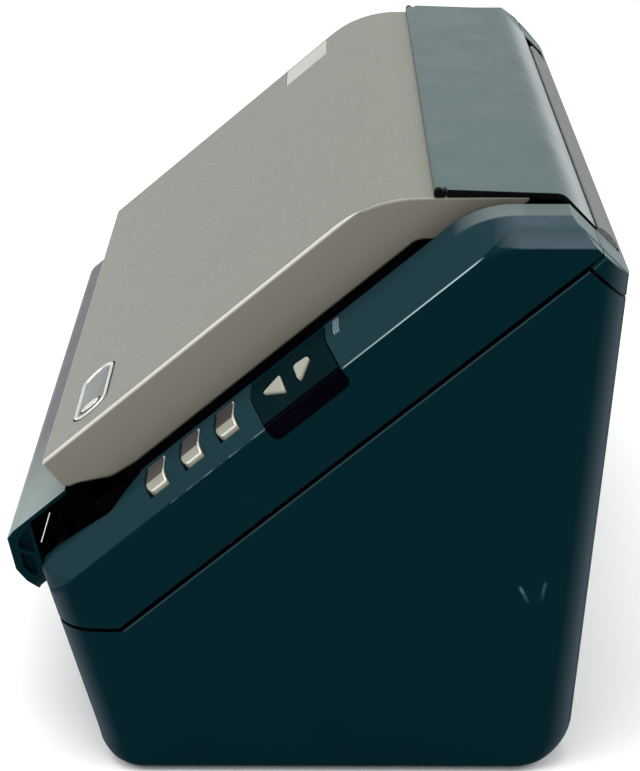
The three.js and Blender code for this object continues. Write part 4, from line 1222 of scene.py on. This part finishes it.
def control_panel(material, window_material, key_material):
    x0, x1 = 136.2, 154.7
    xs = [x0 + (x1 - x0) * k / 24 for k in range(25)]
    outer = [(x, cheek_skin(x) - 0.05) for x in xs]
    inner = [(x, cheek_skin(x) + 2.4) for x in xs[::-1] if x < 151.5]
    panel = across_slope("control_panel", outer + [(153.1, CHAMFER_DEPTH + 0.9)] + inner, *BEZEL)
    keys = (("down", DOWN_ARROW), ("up", UP_ARROW))
    holes = [on_top("arrow hole", shrunk(rounded_outline(points, 4), 1.14), 12, 40) for _, points in keys]
    edges_eased(cleaned(cut(panel, *holes)), 0.25)
    placed(panel, "base", material, "casing", "control_bezel")
    skin = [(x, cheek_skin(x) + 0.02) for x in (155.0, 155.4, 155.8)]
    skin += [(HALF_WIDTH, 28.0), (HALF_WIDTH, 40), (153.7, 40), (153.7, 27.6)]
    window = across_slope("display_face", skin, BEZEL[0] - 1, BEZEL[1] + 1)
    keep(window, window_shape("window outline", 0, 150, ASIDE))
    placed(edges_eased(cleaned(window), 0.2), "base", window_material, "display", "display_window")
    for way, points in keys:
        arrow_key(f"arrow_key_{way}", points, f"arrow_{way}", f"arrow_button_{way}", key_material)


def power_lamp(material):
    """Light-guide ridges side by side on the cheek's flat top."""
    start, end, base = LAMP_X[0], LAMP_X[1] + 0.6, 25.5
    xs = [start + (end - start) * k / 8 for k in range(9)]
    outline = [(start, base)] + [(x, cheek_skin(x) - 0.1) for x in xs] + [(end, base)]
    for i in range(LAMP_RIDGES):
        s = LAMP_AT[0] + 0.36 + RIDGE_PITCH * i
        ridge = across_slope(f"power_lamp_ridge_{i + 1}", outline, s - RIDGE_HALF, s + RIDGE_HALF)
        placed(edges_eased(ridge, 0.12, 2), "base", material, "lamp", *(("power_lamp",) if i == 0 else ()))


# ---- paper path: each rib's place across, half its width, and its runs up the slope ----
RIB_XS = (70, 80, 90, 100)
RIB_HALF = 0.6
RIB_RUNS = (
    ("front_unit", PATH_FRONT, 1, ((16, 42), (64, 130))),
    ("base", PATH_REAR, -1, ((0, 42), (64, 118))),
)


def path_ribs(material):
    """Low ribs that keep the sheet off the two guide plates, clear of rollers and scan glass."""
    for body, depth, way, spans in RIB_RUNS:
        low, high = sorted((depth + 0.02 * way, depth + 0.5 * way))
        for x in [side * x for side in (-1, 1) for x in RIB_XS]:
            for s0, s1 in spans:
                rib = sloped_block(f"path_rib_{body}_{x}_{s0}", x - RIB_HALF, x + RIB_HALF, s0, s1, low, high)
                placed(edges_eased(rib, 0.2, 2), body, material, "inner")


# ---- the scene ----
camera()
pale_floor()
lighting()
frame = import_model()

CASING = casing_plastic()
COVER = sprayed_cover()
FLAP = flap_plastic()
# Painted shadow: near-black for faces and parts that sit in shade.
SHADOW = plain(
    "blackened plastic", (0.0010, 0.0010, 0.0013), (0.0018, 0.0018, 0.0022), 0.7, specular=0.04, relief=0.02
)
PANEL_SHEEN = panel_face()
REAR = rough_plastic()
KEY = plain("silver keys", (0.2, 0.202, 0.162), (0.23, 0.232, 0.186), 0.36, 0.2, 0.4, 0.5, 0.008)
KEY_TOP_SHADE = plain("worn key tops", (0.03, 0.028, 0.027), (0.055, 0.05, 0.047), 0.5, 0.1, 0.25, 0.35, 0.03)
KEY_EDGE_HIGHLIGHT = plain("bright key edges", (0.5, 0.51, 0.45), (0.6, 0.6, 0.54), 0.3, 0.3, relief=0.006)
GLOSS = plain(
    "smoked window", (0.0005, 0.0002, 0.0015), (0.0009, 0.0004, 0.0022), 0.3, 0.0, 0.006, 3, 0.002
)
PANEL = plain(
    "panel plastic", (0.0004, 0.0056, 0.0076), (0.0008, 0.0076, 0.0098), 0.42, 0.0, 0.012, 0.4, 0.012
)
BRIGHT = plain("bright rim", (0.6, 0.59, 0.54), (0.7, 0.69, 0.64), 0.25, 0.8, relief=0.004)
BADGE_FACE = plain("badge face", (0.085, 0.1, 0.092), (0.14, 0.155, 0.145), 0.36, 0.2, 0.4, 1.2, 0.02)
BADGE_MARK_SHADOW = plain("badge ground", (0.02, 0.024, 0.022), (0.03, 0.034, 0.032), 0.5, 0.0, 0.3, 0.6)
PALE = plain("pale plate", (0.33, 0.325, 0.29), (0.40, 0.40, 0.36), 0.45, 0.2, grain=0.9)
LAMP = plain("light guide", (0.085, 0.13, 0.145), (0.11, 0.165, 0.18), 0.4, 0.0, 0.12, 0.6, 0.006)
RUBBER = grooved_rubber()
STEEL = brushed("ground steel", (0.6, 0.61, 0.62), 0.26)
SHEET = brushed("plated sheet", (0.45, 0.46, 0.46), 0.4, (60, 1, 1))
INNER = plain(
    "black frame plastic", (0.007, 0.0075, 0.009), (0.012, 0.0125, 0.014), 0.5, specular=0.15, relief=0.03
)
BOARD = plain("circuit board", (0.008, 0.09, 0.04), (0.012, 0.12, 0.055), 0.35, grain=1.5)
ACETAL = plain("natural acetal", (0.62, 0.6, 0.53), (0.68, 0.66, 0.6), 0.4, grain=0.6)
GLASS = clear_glass()
SLOT_LOOKS = {
    "casing": CASING, "cover": COVER, "flap": FLAP, "rear_trim": REAR, "keys": KEY, "display": GLOSS,
    "lamp": LAMP, "rubber": RUBBER, "steel": STEEL, "sheet": SHEET, "inner": INNER, "pinion": ACETAL,
    "board": BOARD, "glass": GLASS,
}

for part in frame["record"]["subparts"]:
    node = frame["nodes"][part["node"]]
    node.data.materials.clear()
    node.data.materials.append(SLOT_LOOKS[part["material_slot"]])
    if part["material_slot"] in ("rubber", "steel", "pinion"):
        edges_eased(node, 0.2, 2).modifiers["eased edges"].use_clamp_overlap = True

# Painted shadow: the front sides, the flap's pivots and the hinge pins are given the black shadow material.
for side in ("left", "right"):
    for part in ("front_side_", "feed_cover_pivot_", "hinge_pin_"):
        frame["nodes"][part + side].data.materials[0] = SHADOW

upper_casing(CASING, SHADOW)
lower_casing(CASING, SHADOW)
front_cover(COVER, SHADOW)
badge(BRIGHT, BADGE_FACE, BRIGHT, BADGE_MARK_SHADOW)
name_plate(PALE)
front_frame(CASING, PANEL_SHEEN, SHADOW)
spring_legs(STEEL)
feed_cover(FLAP, SHADOW)
rear_cover(CASING, SHADOW)
paper_support(REAR)
function_buttons(KEY, KEY_TOP_SHADE, KEY_EDGE_HIGHLIGHT)
control_panel(PANEL, GLOSS, KEY)
power_lamp(LAMP)
path_ribs(INNER)
